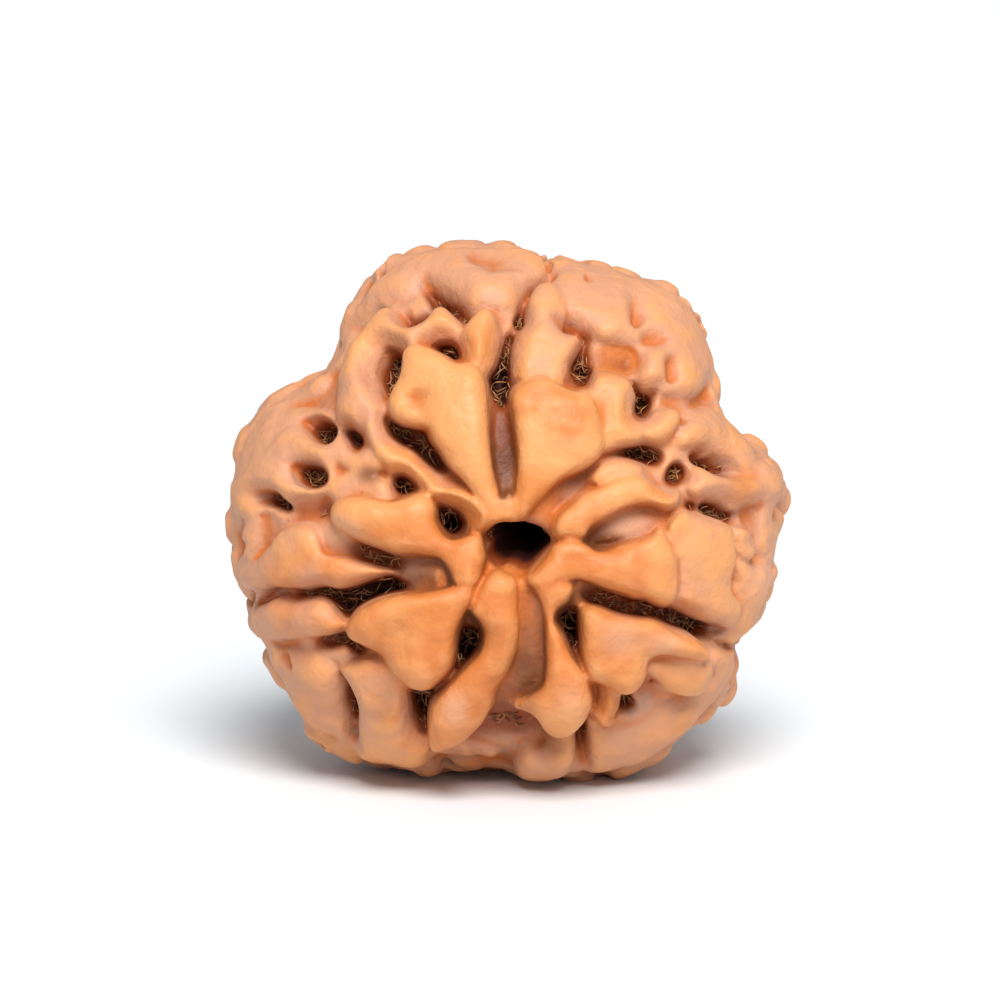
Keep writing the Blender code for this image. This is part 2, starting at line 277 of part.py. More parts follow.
# Smaller pits and creases as the points of their middle lines: x, z, half-width, rise.
CREASES = (
    ((0.1, 9.4, 0.16, -1.4), (0.3, 10.2, 0.1, -0.8), (0.5, 10.6, 0.08, -0.6), (0.95, 10.8, 0.12, -0.8),
     (1.45, 11.05, 0.1, -0.7)),
    ((-6.9, 4.8, 0.25, -1.3), (-6.7, 4.5, 0.28, -1.4), (-6.6, 4.15, 0.25, -1.3)),
    ((-4.75, 9.55, 0.25, -0.6), (-4.5, 9.25, 0.3, -1.0), (-4.0, 9.5, 0.3, -0.7)),
    ((-3.75, 10.85, 0.25, -0.7), (-3.35, 10.4, 0.35, -1.2), (-2.75, 10.15, 0.3, -1.0),
     (-2.2, 9.5, 0.28, -0.7)),
    ((-5.95, 9.8, 0.25, -0.6), (-6.6, 9.0, 0.35, -0.8)),
    ((-11.35, 0.0, 0.15, -0.6),),
    ((-8.3, -4.1, 0.2, -0.7), (-7.9, -4.05, 0.25, -0.9), (-7.2, -3.85, 0.25, -0.9), (-6.5, -4.3, 0.2, -0.6)),
    ((-9.6, -4.6, 0.08, -0.3), (-9.3, -5.0, 0.08, -0.3)),
    ((2.5, -7.4, 0.28, -1.3), (2.65, -8.2, 0.25, -1.2), (2.75, -8.9, 0.2, -0.8)),
    ((3.3, -0.05, 0.15, -0.4), (4.2, 0.2, 0.1, -0.3)),
    ((4.75, 6.65, 0.12, -1.0), (5.05, 6.25, 0.14, -1.4)),
    ((4.4, 3.8, 0.2, -0.8), (4.95, 3.75, 0.28, -1.5), (5.6, 3.6, 0.3, -0.9)),
    ((7.6, 3.7, 0.25, -0.8), (8.2, 3.4, 0.3, -1.2), (8.8, 3.2, 0.25, -0.9)),
    ((7.15, 1.6, 0.22, -1.0),),
    ((9.0, -0.9, 0.1, -0.4), (8.95, -1.5, 0.1, -0.4)),
    ((1.65, 9.15, 0.25, -0.4), (2.0, 8.9, 0.25, -0.6), (2.7, 8.75, 0.2, -0.4)),
    ((2.9, 8.6, 0.2, -0.4), (2.7, 8.1, 0.2, -0.7), (2.5, 7.4, 0.3, -0.9), (2.7, 6.9, 0.3, -0.9)),
    ((2.85, 10.75, 0.12, -0.3),),
    ((4.75, 9.7, 0.2, -0.2), (4.85, 9.1, 0.2, -0.4)),
    ((5.3, 8.5, 0.25, -0.35), (5.65, 8.3, 0.25, -0.35)),
    ((6.15, 7.4, 0.2, -0.3), (6.25, 6.9, 0.2, -0.35)),
    ((6.75, 5.15, 0.12, -0.6),),
    ((5.75, -5.65, 0.1, -0.6),),
)


def by_direction(table, angle, spread):
    """The table's radius in each direction, averaged over the spread in degrees to either side."""
    directions, radii = zip(*table)
    turns = np.linspace(-spread, spread, 7)
    return sum(np.interp(np.degrees(angle) + turn, directions, radii, period=360) for turn in turns) / 7


def skin_radius(angle, y):
    """Distance from the tunnel to the skin, were the seed a prism: rounder away from its middle."""
    fine, broad = by_direction(OUTLINE, angle, 2.5), by_direction(OUTLINE, angle, 16.0)
    return broad + (fine - broad) * np.exp(-((y / 3.2) ** 2))


def on_skin(angle, y):
    share = (1 - np.clip(np.abs(y) / HALF_LENGTH, 0, 1) ** SKIN_POWER) ** (1 / SKIN_POWER)
    radius = skin_radius(angle, y) * share
    return np.stack([radius * np.cos(angle), y + 0 * radius, radius * np.sin(angle)], axis=-1)


def smooth_max(a, b, softness):
    overlap = np.maximum(softness - np.abs(a - b), 0) / softness
    return np.maximum(a, b) + overlap ** 2 * softness / 4


def in_drawing(places, end):
    """Where each place of the near end (-1) or the far end (+1) lies in the drawing, and how much it is
    part of that end. The far end has the same drawing, turned half round the upright and by one lobe."""
    x, y, z = places.T
    if end > 0:
        angle = np.arctan2(z, x)
        drawn = np.pi - math.radians(13 + 120) - angle
        radius = np.hypot(x, z) * skin_radius(drawn, 0.0) / skin_radius(angle, 0.0)
        x, z = radius * np.cos(drawn), radius * np.sin(drawn)
    share = np.clip((end * y - 0.8) / 1.8, 0, 1)
    return np.stack([x, z], axis=-1), share * share * (3 - 2 * share)


def rounded(points):
    """A smooth closed line through the points."""
    points = np.array(points)
    before, after, beyond = np.roll(points, 1, 0), np.roll(points, -1, 0), np.roll(points, -2, 0)
    share = np.linspace(0, 1, 6, endpoint=False)[:, None, None]
    line = points + 0.5 * share * (after - before + share * (
        2 * before - 5 * points + 4 * after - beyond + share * (3 * points - before - 3 * after + beyond)))
    return line.transpose(1, 0, 2).reshape(-1, 2)


def depth_inside(outline, places):
    """How deep each place lies inside the outline: the distance to it outside (negative), and inside a
    measure that grows from it like the distance but has no creases where the sides are equally far."""
    x, z = places.T
    near, crowd, inside = np.full(len(x), 1e9), np.zeros(len(x)), np.zeros(len(x), bool)
    for (x1, z1), (x2, z2) in zip(outline, np.roll(outline, -1, axis=0)):
        across, up = x2 - x1, z2 - z1
        share = np.clip(((x - x1) * across + (z - z1) * up) / (across ** 2 + up ** 2 + 1e-12), 0, 1)
        away = (x - x1 - share * across) ** 2 + (z - z1 - share * up) ** 2
        near = np.minimum(near, away)
        crowd += math.hypot(across, up) / ((x - x1 - across / 2) ** 2 + (z - z1 - up / 2) ** 2 + 0.05) ** 2
        if up:
            inside ^= ((z1 > z) != (z2 > z)) & (x < x1 + (z - z1) * across / up)
    smooth = np.sqrt(np.maximum((math.pi / 2 / crowd) ** (2 / 3) - 0.05, 0))
    return np.where(inside, smooth, -np.sqrt(near))


def shapes_near(shapes, places, reach):
    """For each shape: the places it reaches, how deep inside its outline they lie, and its level there."""
    radius = np.hypot(*places.T)
    for inner, outer, *points in shapes:
        outline = rounded(points)
        low, high = outline.min(axis=0) - reach, outline.max(axis=0) + reach
        touched = np.flatnonzero(((places > low) & (places < high)).all(axis=1))
        if len(touched):
            first, last = np.hypot(*outline.T).min(), np.hypot(*outline.T).max()
            share = np.clip((radius[touched] - first) / (last - first), 0, 1)
            yield touched, depth_inside(outline, places[touched]), inner + (outer - inner) * share


def raise_shapes(height, places, present, shapes, edge, dome, wall, blend):
    """Pads with a domed top, an edge rounded off to this radius, and sides as steep as the wall."""
    for touched, inside, level in shapes_near(shapes, places, 1.0):
        round_off = edge - np.sqrt(edge ** 2 - np.clip(edge - inside, 0, edge) ** 2)
        rise = dome * (1 - np.exp(-np.maximum(inside, 0)))
        pad = level + rise - round_off - wall * np.maximum(-inside, 0) - 5 * (1 - present[touched])
        height[touched] = smooth_max(height[touched], pad, blend)


def sink_shapes(height, places, present, shapes, wall, rim):
    """Pits whose walls start at the rim's slope and steepen inwards."""
    for touched, inside, level in shapes_near(shapes, places, 0.8):
        funnel = 0.3 - 1.6 * (inside + 0.4) - wall * np.maximum(inside + 0.1, 0)
        pit = np.maximum(level, funnel) + 5 * (1 - present[touched])
        height[touched] = -smooth_max(-height[touched], -pit, rim)


def along(stroke, places):
    """The distance of each place from the stroke's middle line, and the half-width and level there."""
    near = np.full(len(places), 1e9)
    width, level = np.zeros(len(places)), np.zeros(len(places))
    for start, end in zip(stroke[:-1], stroke[1:]):
        run, offset = (end - start)[:-2], places - start[:-2]
        share = np.clip(offset @ run / max(run @ run, 1e-9), 0, 1)
        distance = np.linalg.norm(offset - share[:, None] * run, axis=1)
        closer = distance < near
        near[closer] = distance[closer]
        width[closer] = (start[-2] + share * (end[-2] - start[-2]))[closer]
        level[closer] = (start[-1] + share * (end[-1] - start[-1]))[closer]
    return near, width, level


def strokes_near(strokes, places, reach):
    """For each stroke: the places it reaches, their distance from it, and its half-width and level."""
    for stroke in strokes:
        stroke = np.array(stroke if len(stroke) > 1 else stroke * 2)
        margin = reach + stroke[:, -2].max() * 1.5
        low, high = stroke[:, :-2].min(axis=0) - margin, stroke[:, :-2].max(axis=0) + margin
        touched = np.flatnonzero(((places > low) & (places < high)).all(axis=1))
        if len(touched):
            yield (touched, *along(stroke, places[touched]))


def raise_ridges(height, places, present, strokes, wall, blend):
    """Ridges with domed crests and sides as steep as the wall, blended softly into their surroundings."""
    for touched, distance, width, crest in strokes_near(strokes, places, 1.0):
        edge = np.minimum(0.8 * width, 0.36)
        inside = width - distance
        round_off = edge - np.sqrt(edge ** 2 - np.clip(edge - inside, 0, edge) ** 2)
        dome = 0.16 * width * np.maximum(1 - (distance / width) ** 2, 0)
        ridge = crest + dome - round_off - wall * np.maximum(-inside, 0) - 5 * (1 - present[touched])
        height[touched] = smooth_max(height[touched], ridge, blend)


def sink_creases(height, places, present, strokes, wall, rim):
    for touched, distance, width, depth in strokes_near(strokes, places, 0.5):
        pit = np.maximum(-depth, 0.2 - wall * (width - distance)) + 5 * (1 - present[touched])
        height[touched] = -smooth_max(-height[touched], -pit, rim)


def add_swells(height, places, present, strokes):
    for touched, distance, width, rise in strokes_near(strokes, places, 1.5):
        height[touched] += present[touched] * rise * np.exp(-((distance / width) ** 2) * 0.7)


def waves(places, length, seed):
    """Gentle unevenness: a sum of waves of about this length in seeded directions."""
    rng = np.random.default_rng(seed)
    total = np.zeros(len(places))
    for _ in range(14):
        direction = rng.normal(size=3)
        direction *= 2 * math.pi / (length * rng.uniform(0.8, 1.3) * np.linalg.norm(direction))
        total += np.cos(places @ direction + rng.uniform(0, 2 * math.pi))
    return total / 14 ** 0.5


def side_ridges():
    """A net of short ridges round the side, where the ends' drawings run out, on seeded knots."""
    rng = np.random.default_rng(7)
    columns, levels = 30, (-3.3, -1.2, 1.0, 3.2)
    knots = {}
    for column in range(columns):
        for row, level in enumerate(levels):
            angle = 2 * math.pi * (column + 0.5 * (row % 2) + rng.uniform(-0.25, 0.25)) / columns
            y = level + rng.uniform(-0.5, 0.5)
            size = (rng.uniform(0.55, 0.9), rng.uniform(-0.25, 0.05))
            knots[column, row] = np.append(on_skin(angle, y), size)
    for (column, row), knot in knots.items():
        for step, climb, chance in ((1, 0, 0.45), (0, 1, 0.75), (1, 1, 0.35)):
            other = knots.get(((column + step) % columns, row + climb))
            if other is not None and rng.random() < chance:
                yield np.array([knot, other])


def side_pits():
    """Round and oval pits between those ridges."""
    rng = np.random.default_rng(11)
    for column in range(24):
        for level in (-0.9, 1.1):
            angle = 2 * math.pi * (column + rng.uniform(-0.35, 0.35)) / 24
            y = level + rng.uniform(-0.5, 0.5)
            turn, length = rng.uniform(-0.06, 0.06), rng.uniform(-0.7, 0.7)
            size = (rng.uniform(0.22, 0.42), rng.uniform(1.1, 2.2))
            if rng.random() < 0.75:
                ends = on_skin(angle, y), on_skin(angle + turn, y + length)
                yield np.array([np.append(end, size) for end in ends])


def side_clefts(half_width, depth, shift):
    """Lines over the crest of each lobe from end to end, where its cleft runs, or beside it."""
    for lobe in LOBES:
        y = np.linspace(-4.2, 4.2, 9)
        angle = np.radians(lobe + 2.0 * np.sin(1.3 * y + lobe)) + shift / 11.0
        points = on_skin(angle, y)
        yield np.column_stack([points, np.full(9, half_width), np.full(9, depth)])


def heights(places):
    """How far the seed's surface stands above its skin at each place, in millimetres."""
    everywhere = np.ones(len(places))
    height = -0.4 + 0.05 * waves(places, 1.8, 3)
    raise_ridges(height, places, everywhere, side_ridges(), 1.6, 0.6)
    for shift in (-0.95, 0.95):
        raise_ridges(height, places, everywhere, side_clefts(0.6, 0.0, shift), 2.5, 0.4)
    sink_creases(height, places, everywhere, side_clefts(0.2, 1.8, 0.0), 6.0, 0.22)
    sink_creases(height, places, everywhere, side_pits(), 6.0, 0.22)
    height += 0.05 * waves(places, 3.0, 5)
    for end in (-1, 1):
        there = np.flatnonzero(end * places[:, 1] > 0.8)
        drawn, present = in_drawing(places[there], end)
        rise = height[there] - 0.3 * present * np.clip((8.5 - np.hypot(*drawn.T)) / 2, 0, 1)
        raise_shapes(rise, drawn, present, FOLDS, 0.9, 0.35, 1.2, 0.6)
        raise_ridges(rise, drawn, present, RIDGES, 2.5, 0.5)
        raise_shapes(rise, drawn, present, BLOCKS, 0.55, 0.25, 4.0, 0.3)
        add_swells(rise, drawn, present, SWELLS)
        sink_shapes(rise, drawn, present, PITS, 4.0, 0.35)
        add_swells(rise, drawn, present, CREASES)
        raise_shapes(rise, drawn, present, PETALS, 0.5, 0.3, 8.0, 0.15)
        add_swells(rise, drawn, present, DENTS)
        height[there] = rise
    rough = np.clip((-height - 0.9) / 0.4, 0, 1)
    return height + 0.018 * waves(places, 0.9, 6) + 0.11 * rough * waves(places, 0.45, 8)


def surface(columns, rows, tunnel_rows):
    """Closed grid of points: over the skin from the near mouth to the far one, back through the tunnel."""
    angle = np.linspace(0, 2 * math.pi, columns, endpoint=False)
    mouth = by_direction(MOUTH, angle, 12.0)
    start = np.arcsin((mouth / skin_radius(angle, HALF_LENGTH)) ** (SKIN_POWER / 2))
    turn = start + (np.pi - 2 * start) * np.linspace(0, 1, rows)[:, None]
    y = -HALF_LENGTH * np.sign(np.cos(turn)) * np.abs(np.cos(turn)) ** (2 / SKIN_POWER)
    skin = on_skin(angle + 0 * turn, y)
    around = np.roll(skin, -1, axis=1) - np.roll(skin, 1, axis=1)
    normal = np.cross(np.gradient(skin, axis=0), around)
    normal /= np.linalg.norm(normal, axis=2, keepdims=True)
    # Near the ends everything rises along the tunnel, so that it stays where it is drawn.
    radius = np.hypot(skin[..., 0], skin[..., 2])
    blend = np.clip((radius / skin_radius(angle, y) - 0.55) / 0.4, 0, 1)[..., None]
    blend = blend * blend * (3 - 2 * blend)
    straight = np.zeros_like(skin)
    straight[..., 1] = np.sign(y)
    push = normal * blend + straight * (1 - blend)
    push /= np.linalg.norm(push, axis=2, keepdims=True)
    height = heights(skin.reshape(-1, 3)).reshape(y.shape)
    lip = np.clip(0.4 - (radius - mouth), 0, 0.4)
    height -= 0.4 - np.sqrt(0.4 ** 2 - lip ** 2)
    outside = skin + push * height[..., None]
    share = np.linspace(0, 1, tunnel_rows + 2)[1:-1, None, None]
    tunnel = outside[-1] * (1 - share) + outside[0] * share
    bow = np.sin(np.pi * share) ** 0.8
    tunnel = tunnel * (1 - bow * [0.45, 0, 0.45]) + bow * [0.9, 0, 1.5]
    points = np.concatenate([outside, tunnel]).reshape(-1, 3)
    row, column = np.meshgrid(np.arange(rows + tunnel_rows), np.arange(columns), indexing="ij")
    here, there = row * columns, (row + 1) % (rows + tunnel_rows) * columns
    right = (column + 1) % columns
    faces = np.stack([here + column, here + right, there + right, there + column], axis=-1).reshape(-1, 4)
    return points, faces


def set_down(points):
    """The drawing's axes turned to lie on the table, near end raised."""
    x, y, z = points.T
    return np.column_stack([
        x,
        y * math.cos(TIP) + z * math.sin(TIP),
        z * math.cos(TIP) - y * math.sin(TIP) + AXIS_HEIGHT,
    ])


def evaluated_mesh(obj, name):
    bpy.context.view_layer.update()
    graph = bpy.context.evaluated_depsgraph_get()
    mesh = bpy.data.meshes.new_from_object(obj.evaluated_get(graph))
    mesh.name = name
    return mesh


def seed_mesh(name, columns, rows, tunnel_rows, voxel, triangles):
    """The seed as one closed mesh: evened out, a little worn, thinned and cut flat to rest on."""
    points, faces = surface(columns, rows, tunnel_rows)
    mesh = bpy.data.meshes.new(name)
    mesh.from_pydata(set_down(points).tolist(), [], faces.tolist())
    worked = bpy.data.objects.new(name + "_worked", mesh)
    bpy.context.scene.collection.objects.link(worked)
    even = worked.modifiers.new("even", "REMESH")
    even.mode = "VOXEL"
    even.voxel_size = voxel
    even.adaptivity = 0
    worn = worked.modifiers.new("worn", "SMOOTH")
    worn.factor = 0.5
    worn.iterations = round(0.3 / voxel)
    worked.data = evaluated_mesh(worked, name)
    worked.modifiers.clear()
    thin = worked.modifiers.new("thin", "DECIMATE")
    thin.ratio = triangles / sum(len(face.vertices) - 2 for face in worked.data.polygons)
    bpy.ops.mesh.primitive_cube_add(size=60, location=(0, 0, -30))
    table = bpy.context.object
    flat = worked.modifiers.new("flat", "BOOLEAN")
    flat.object = table
    finished = evaluated_mesh(worked, name)
    bpy.data.objects.remove(table)
    bpy.data.objects.remove(worked)
    return finished


for old in list(bpy.data.objects):
    bpy.data.objects.remove(old)

seed_surface = seed_mesh("rudraksha_seed", COLUMNS, ROWS, TUNNEL_ROWS, VOXEL, TRIANGLES)
corners = np.array([vertex.co for vertex in seed_surface.vertices])
middle = (corners.min(axis=0) + corners.max(axis=0)) / 2
for vertex in seed_surface.vertices:
    vertex.co = (vertex.co.x - middle[0], vertex.co.y - middle[1], vertex.co.z)
    vertex.co *= 0.001
seed_surface.shade_smooth()
seed = bpy.data.objects.new("rudraksha_seed", seed_surface)
bpy.context.scene.collection.objects.link(seed)

stone = bpy.data.materials.new("seed_stone")
stone.use_nodes = True
shader = stone.node_tree.nodes["Principled BSDF"]
shader.inputs["Base Color"].default_value = (0.72, 0.36, 0.17, 1)
shader.inputs["Roughness"].default_value = 0.55
shader.inputs["Metallic"].default_value = 0.0
seed.data.materials.append(stone)
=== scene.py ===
import math

import bmesh
import bpy
import numpy as np
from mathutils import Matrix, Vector
from mathutils.kdtree import KDTree


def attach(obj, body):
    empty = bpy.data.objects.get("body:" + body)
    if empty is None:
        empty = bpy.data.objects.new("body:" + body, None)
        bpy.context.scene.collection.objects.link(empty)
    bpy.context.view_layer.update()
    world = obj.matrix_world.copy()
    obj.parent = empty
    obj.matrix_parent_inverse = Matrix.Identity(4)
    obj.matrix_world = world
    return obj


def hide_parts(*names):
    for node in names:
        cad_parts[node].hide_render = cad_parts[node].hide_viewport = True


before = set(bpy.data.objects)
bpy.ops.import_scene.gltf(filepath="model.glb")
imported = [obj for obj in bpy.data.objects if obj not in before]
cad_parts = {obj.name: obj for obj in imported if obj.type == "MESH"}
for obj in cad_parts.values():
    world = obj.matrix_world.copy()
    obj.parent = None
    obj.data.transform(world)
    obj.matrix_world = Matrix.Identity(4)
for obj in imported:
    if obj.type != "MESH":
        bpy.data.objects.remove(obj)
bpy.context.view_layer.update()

# THE SEED
# The stone of a rudraksha fruit: one grown piece of hard woody shell, three lobes round a natural tunnel,
# washed of its pulp and lightly oiled. The rules below raise its petals, ridges and pits from a smooth skin,
# as in the solid but on a finer mesh.
HALF_LENGTH = 8.7         # from the middle to the skin at each end, along the tunnel
SKIN_POWER = 2.3          # how squarely the skin turns from its ends to its side
TIP = math.radians(10.0)  # how far the near end of the tunnel is raised
AXIS_HEIGHT = 9.45        # of the tunnel's middle above the table

# Distance from the tunnel to the outline, by direction in degrees from +x towards +z. The seed has three
# broad lobes, each split along its crest by a cleft, and three narrower valleys between them.
OUTLINE = (
    (1, 10.5), (10, 11.3), (15, 11.5), (20, 11.2), (28, 10.0), (32, 9.3), (40, 10.6), (46, 11.5),
    (54, 12.3), (63, 12.3), (73, 12.0), (84, 11.8), (92, 12.3), (98, 12.5), (106, 12.8), (120, 12.8),
    (127, 11.8), (132, 10.9), (137, 10.3), (144, 11.1), (151, 12.2), (164, 12.2), (171, 12.0),
    (179, 11.7), (187, 11.6), (191, 11.2), (196, 11.5), (206, 11.3), (216, 11.3), (226, 11.4),
    (233, 11.1), (242, 10.5), (250, 9.8), (260, 9.2), (271, 9.4), (278, 9.7), (290, 10.2),
    (305, 10.4), (317, 10.5), (325, 10.7), (332, 10.2), (336, 9.7), (344, 10.3), (357, 10.8),
)
LOBES = (85.0, 191.0, 336.0)

# The tunnel's mouth, a rounded triangle.
MOUTH = ((12, 1.42), (60, 1.05), (100, 0.95), (148, 1.4), (196, 1.25), (235, 1.1), (275, 1.22), (325, 1.1))

# The drawing of the near end. A petal, fold, block or pit is a level at its side towards the tunnel, a level
# at its far side, then the points x, z of its outline. Levels are heights above the skin.
PETALS = (
    # Upper left petal and its ear.
    (0.75, 1.15, (-0.3, 0.8), (-1.3, 0.75), (-1.5, 1.4), (-1.8, 2.1), (-2.25, 2.75), (-2.75, 3.3),
     (-3.1, 3.85), (-3.45, 4.35), (-3.65, 4.8), (-4.1, 4.9), (-4.7, 5.05), (-5.1, 5.35), (-5.2, 5.8),
     (-5.0, 6.35), (-4.7, 6.85), (-4.6, 7.3), (-4.5, 7.8), (-4.1, 8.1), (-3.5, 7.95), (-3.0, 7.7),
     (-2.55, 7.42), (-1.9, 7.4), (-1.5, 7.1), (-1.3, 6.4), (-1.22, 5.5), (-1.15, 4.2), (-1.0, 3.2),
     (-0.75, 2.3)),
    # Upper right petal.
    (0.75, 1.2, (0.1, 0.85), (-0.1, 1.5), (-0.1, 2.3), (0.0, 3.0), (0.0, 4.0), (-0.1, 4.8), (-0.2, 5.5),
     (-0.2, 6.1), (0.0, 6.45), (0.4, 6.65), (0.9, 6.85), (1.35, 6.7), (1.9, 6.4), (2.4, 6.25), (2.75, 6.3),
     (3.05, 6.0), (3.15, 5.6), (3.3, 5.1), (3.45, 4.6), (3.5, 4.1), (3.3, 3.7), (2.95, 3.35), (2.4, 3.05),
     (1.9, 2.8), (1.4, 2.4), (1.0, 1.95), (0.55, 1.45)),
    # Where those two grow together over the tunnel.
    (0.7, 0.85, (-1.3, 0.75), (-1.3, 1.6), (-1.0, 2.3), (-0.6, 2.1), (-0.3, 2.3), (0.2, 1.7), (0.1, 0.85),
     (-0.5, 0.7)),
    # Left petal, from the rim beside the tunnel.
    (0.8, 1.05, (-1.3, -0.3), (-1.5, 0.5), (-2.0, 0.45), (-2.6, 0.3), (-3.0, 0.5), (-3.3, 1.0), (-3.4, 1.7),
     (-3.9, 2.1), (-4.5, 1.95), (-5.2, 1.8), (-6.2, 1.95), (-7.1, 1.85), (-7.5, 1.5), (-7.45, 1.0),
     (-6.9, 0.6), (-6.2, 0.25), (-5.5, 0.0), (-4.8, -0.25), (-4.0, -0.3), (-3.2, -0.5), (-2.8, -1.1),
     (-2.6, -1.6), (-2.0, -1.9), (-1.6, -1.5), (-1.4, -0.8)),
    # Lower left petal, heart-shaped.
    (0.9, 1.1, (-1.8, -1.5), (-2.6, -1.6), (-3.2, -1.75), (-4.0, -1.9), (-5.0, -2.05), (-5.8, -2.3),
     (-6.4, -2.65), (-6.75, -3.05), (-6.9, -3.45), (-6.7, -3.75), (-6.3, -3.95), (-5.9, -4.15),
     (-5.5, -4.4), (-5.3, -4.75), (-5.0, -5.15), (-4.7, -5.4), (-4.4, -5.65), (-4.0, -5.8), (-3.6, -5.75),
     (-3.3, -5.5), (-2.95, -5.2), (-2.7, -4.8), (-2.6, -4.3), (-2.55, -3.8), (-2.4, -3.2), (-2.1, -2.6),
     (-1.8, -2.1)),
    # Curved petal under the tunnel.
    (0.65, 1.0, (-0.05, -1.25), (0.0, -2.2), (0.05, -3.2), (0.0, -4.0), (-0.25, -4.8), (-0.55, -5.3),
     (-0.9, -5.8), (-1.05, -6.4), (-1.4, -7.0), (-1.9, -7.45), (-2.4, -7.7), (-3.0, -7.9), (-3.5, -8.0),
     (-3.6, -7.5), (-3.55, -6.9), (-3.4, -6.4), (-3.0, -5.95), (-2.5, -5.4), (-2.0, -4.85), (-1.6, -4.4),
     (-1.4, -3.9), (-1.4, -3.4), (-1.6, -3.0), (-1.9, -2.6), (-1.7, -2.0), (-1.3, -1.3), (-0.8, -0.95),
     (-0.4, -1.05)),
    # Lower right club and its wing.
    (0.75, 1.0, (0.6, -1.6), (0.9, -2.2), (1.1, -3.0), (1.15, -4.0), (1.15, -4.9), (1.0, -5.6),
     (0.5, -5.95), (0.0, -6.25), (-0.1, -6.5), (0.4, -6.65), (0.8, -6.9), (1.15, -7.35), (1.65, -7.55),
     (2.2, -7.4), (2.7, -6.95), (3.0, -6.35), (2.9, -5.7), (2.6, -5.05), (2.15, -4.4), (1.8, -3.6),
     (1.55, -3.05), (1.65, -2.6), (2.1, -2.2), (2.3, -1.6), (1.6, -1.3)),
    # Right petal, square at its far end.
    (0.75, 1.1, (0.3, -1.3), (0.6, -0.85), (1.05, -0.4), (1.5, 0.1), (2.2, 0.3), (2.8, 0.1), (3.2, -0.15),
     (3.7, -0.15), (4.2, 0.05), (5.0, 0.25), (5.5, 0.45), (5.8, 0.7), (6.0, 0.4), (6.2, 0.0), (6.4, -0.4),
     (6.48, -1.0), (6.45, -1.9), (6.3, -2.2), (6.0, -2.35), (5.6, -2.25), (5.2, -2.05), (4.7, -2.0),
     (4.2, -1.85), (3.5, -1.65), (2.9, -1.45), (2.4, -1.35), (1.8, -1.6), (1.2, -1.95), (0.6, -1.7)),
    # Lower right petal with its long arm.
    (0.95, 1.1, (2.6, -2.6), (2.9, -2.45), (3.4, -2.55), (4.0, -2.8), (5.0, -3.0), (5.5, -3.05),
     (6.3, -3.45), (7.0, -3.7), (7.35, -3.9), (7.55, -4.2), (7.3, -4.5), (6.5, -4.4), (6.0, -4.35),
     (5.6, -4.4), (5.3, -4.6), (5.2, -4.85), (5.15, -5.2), (5.0, -5.5), (4.7, -5.85), (4.3, -5.95),
     (3.9, -5.8), (3.4, -5.55), (2.95, -5.4), (2.85, -5.1), (2.7, -4.6), (2.65, -4.0), (2.62, -3.2)),
)
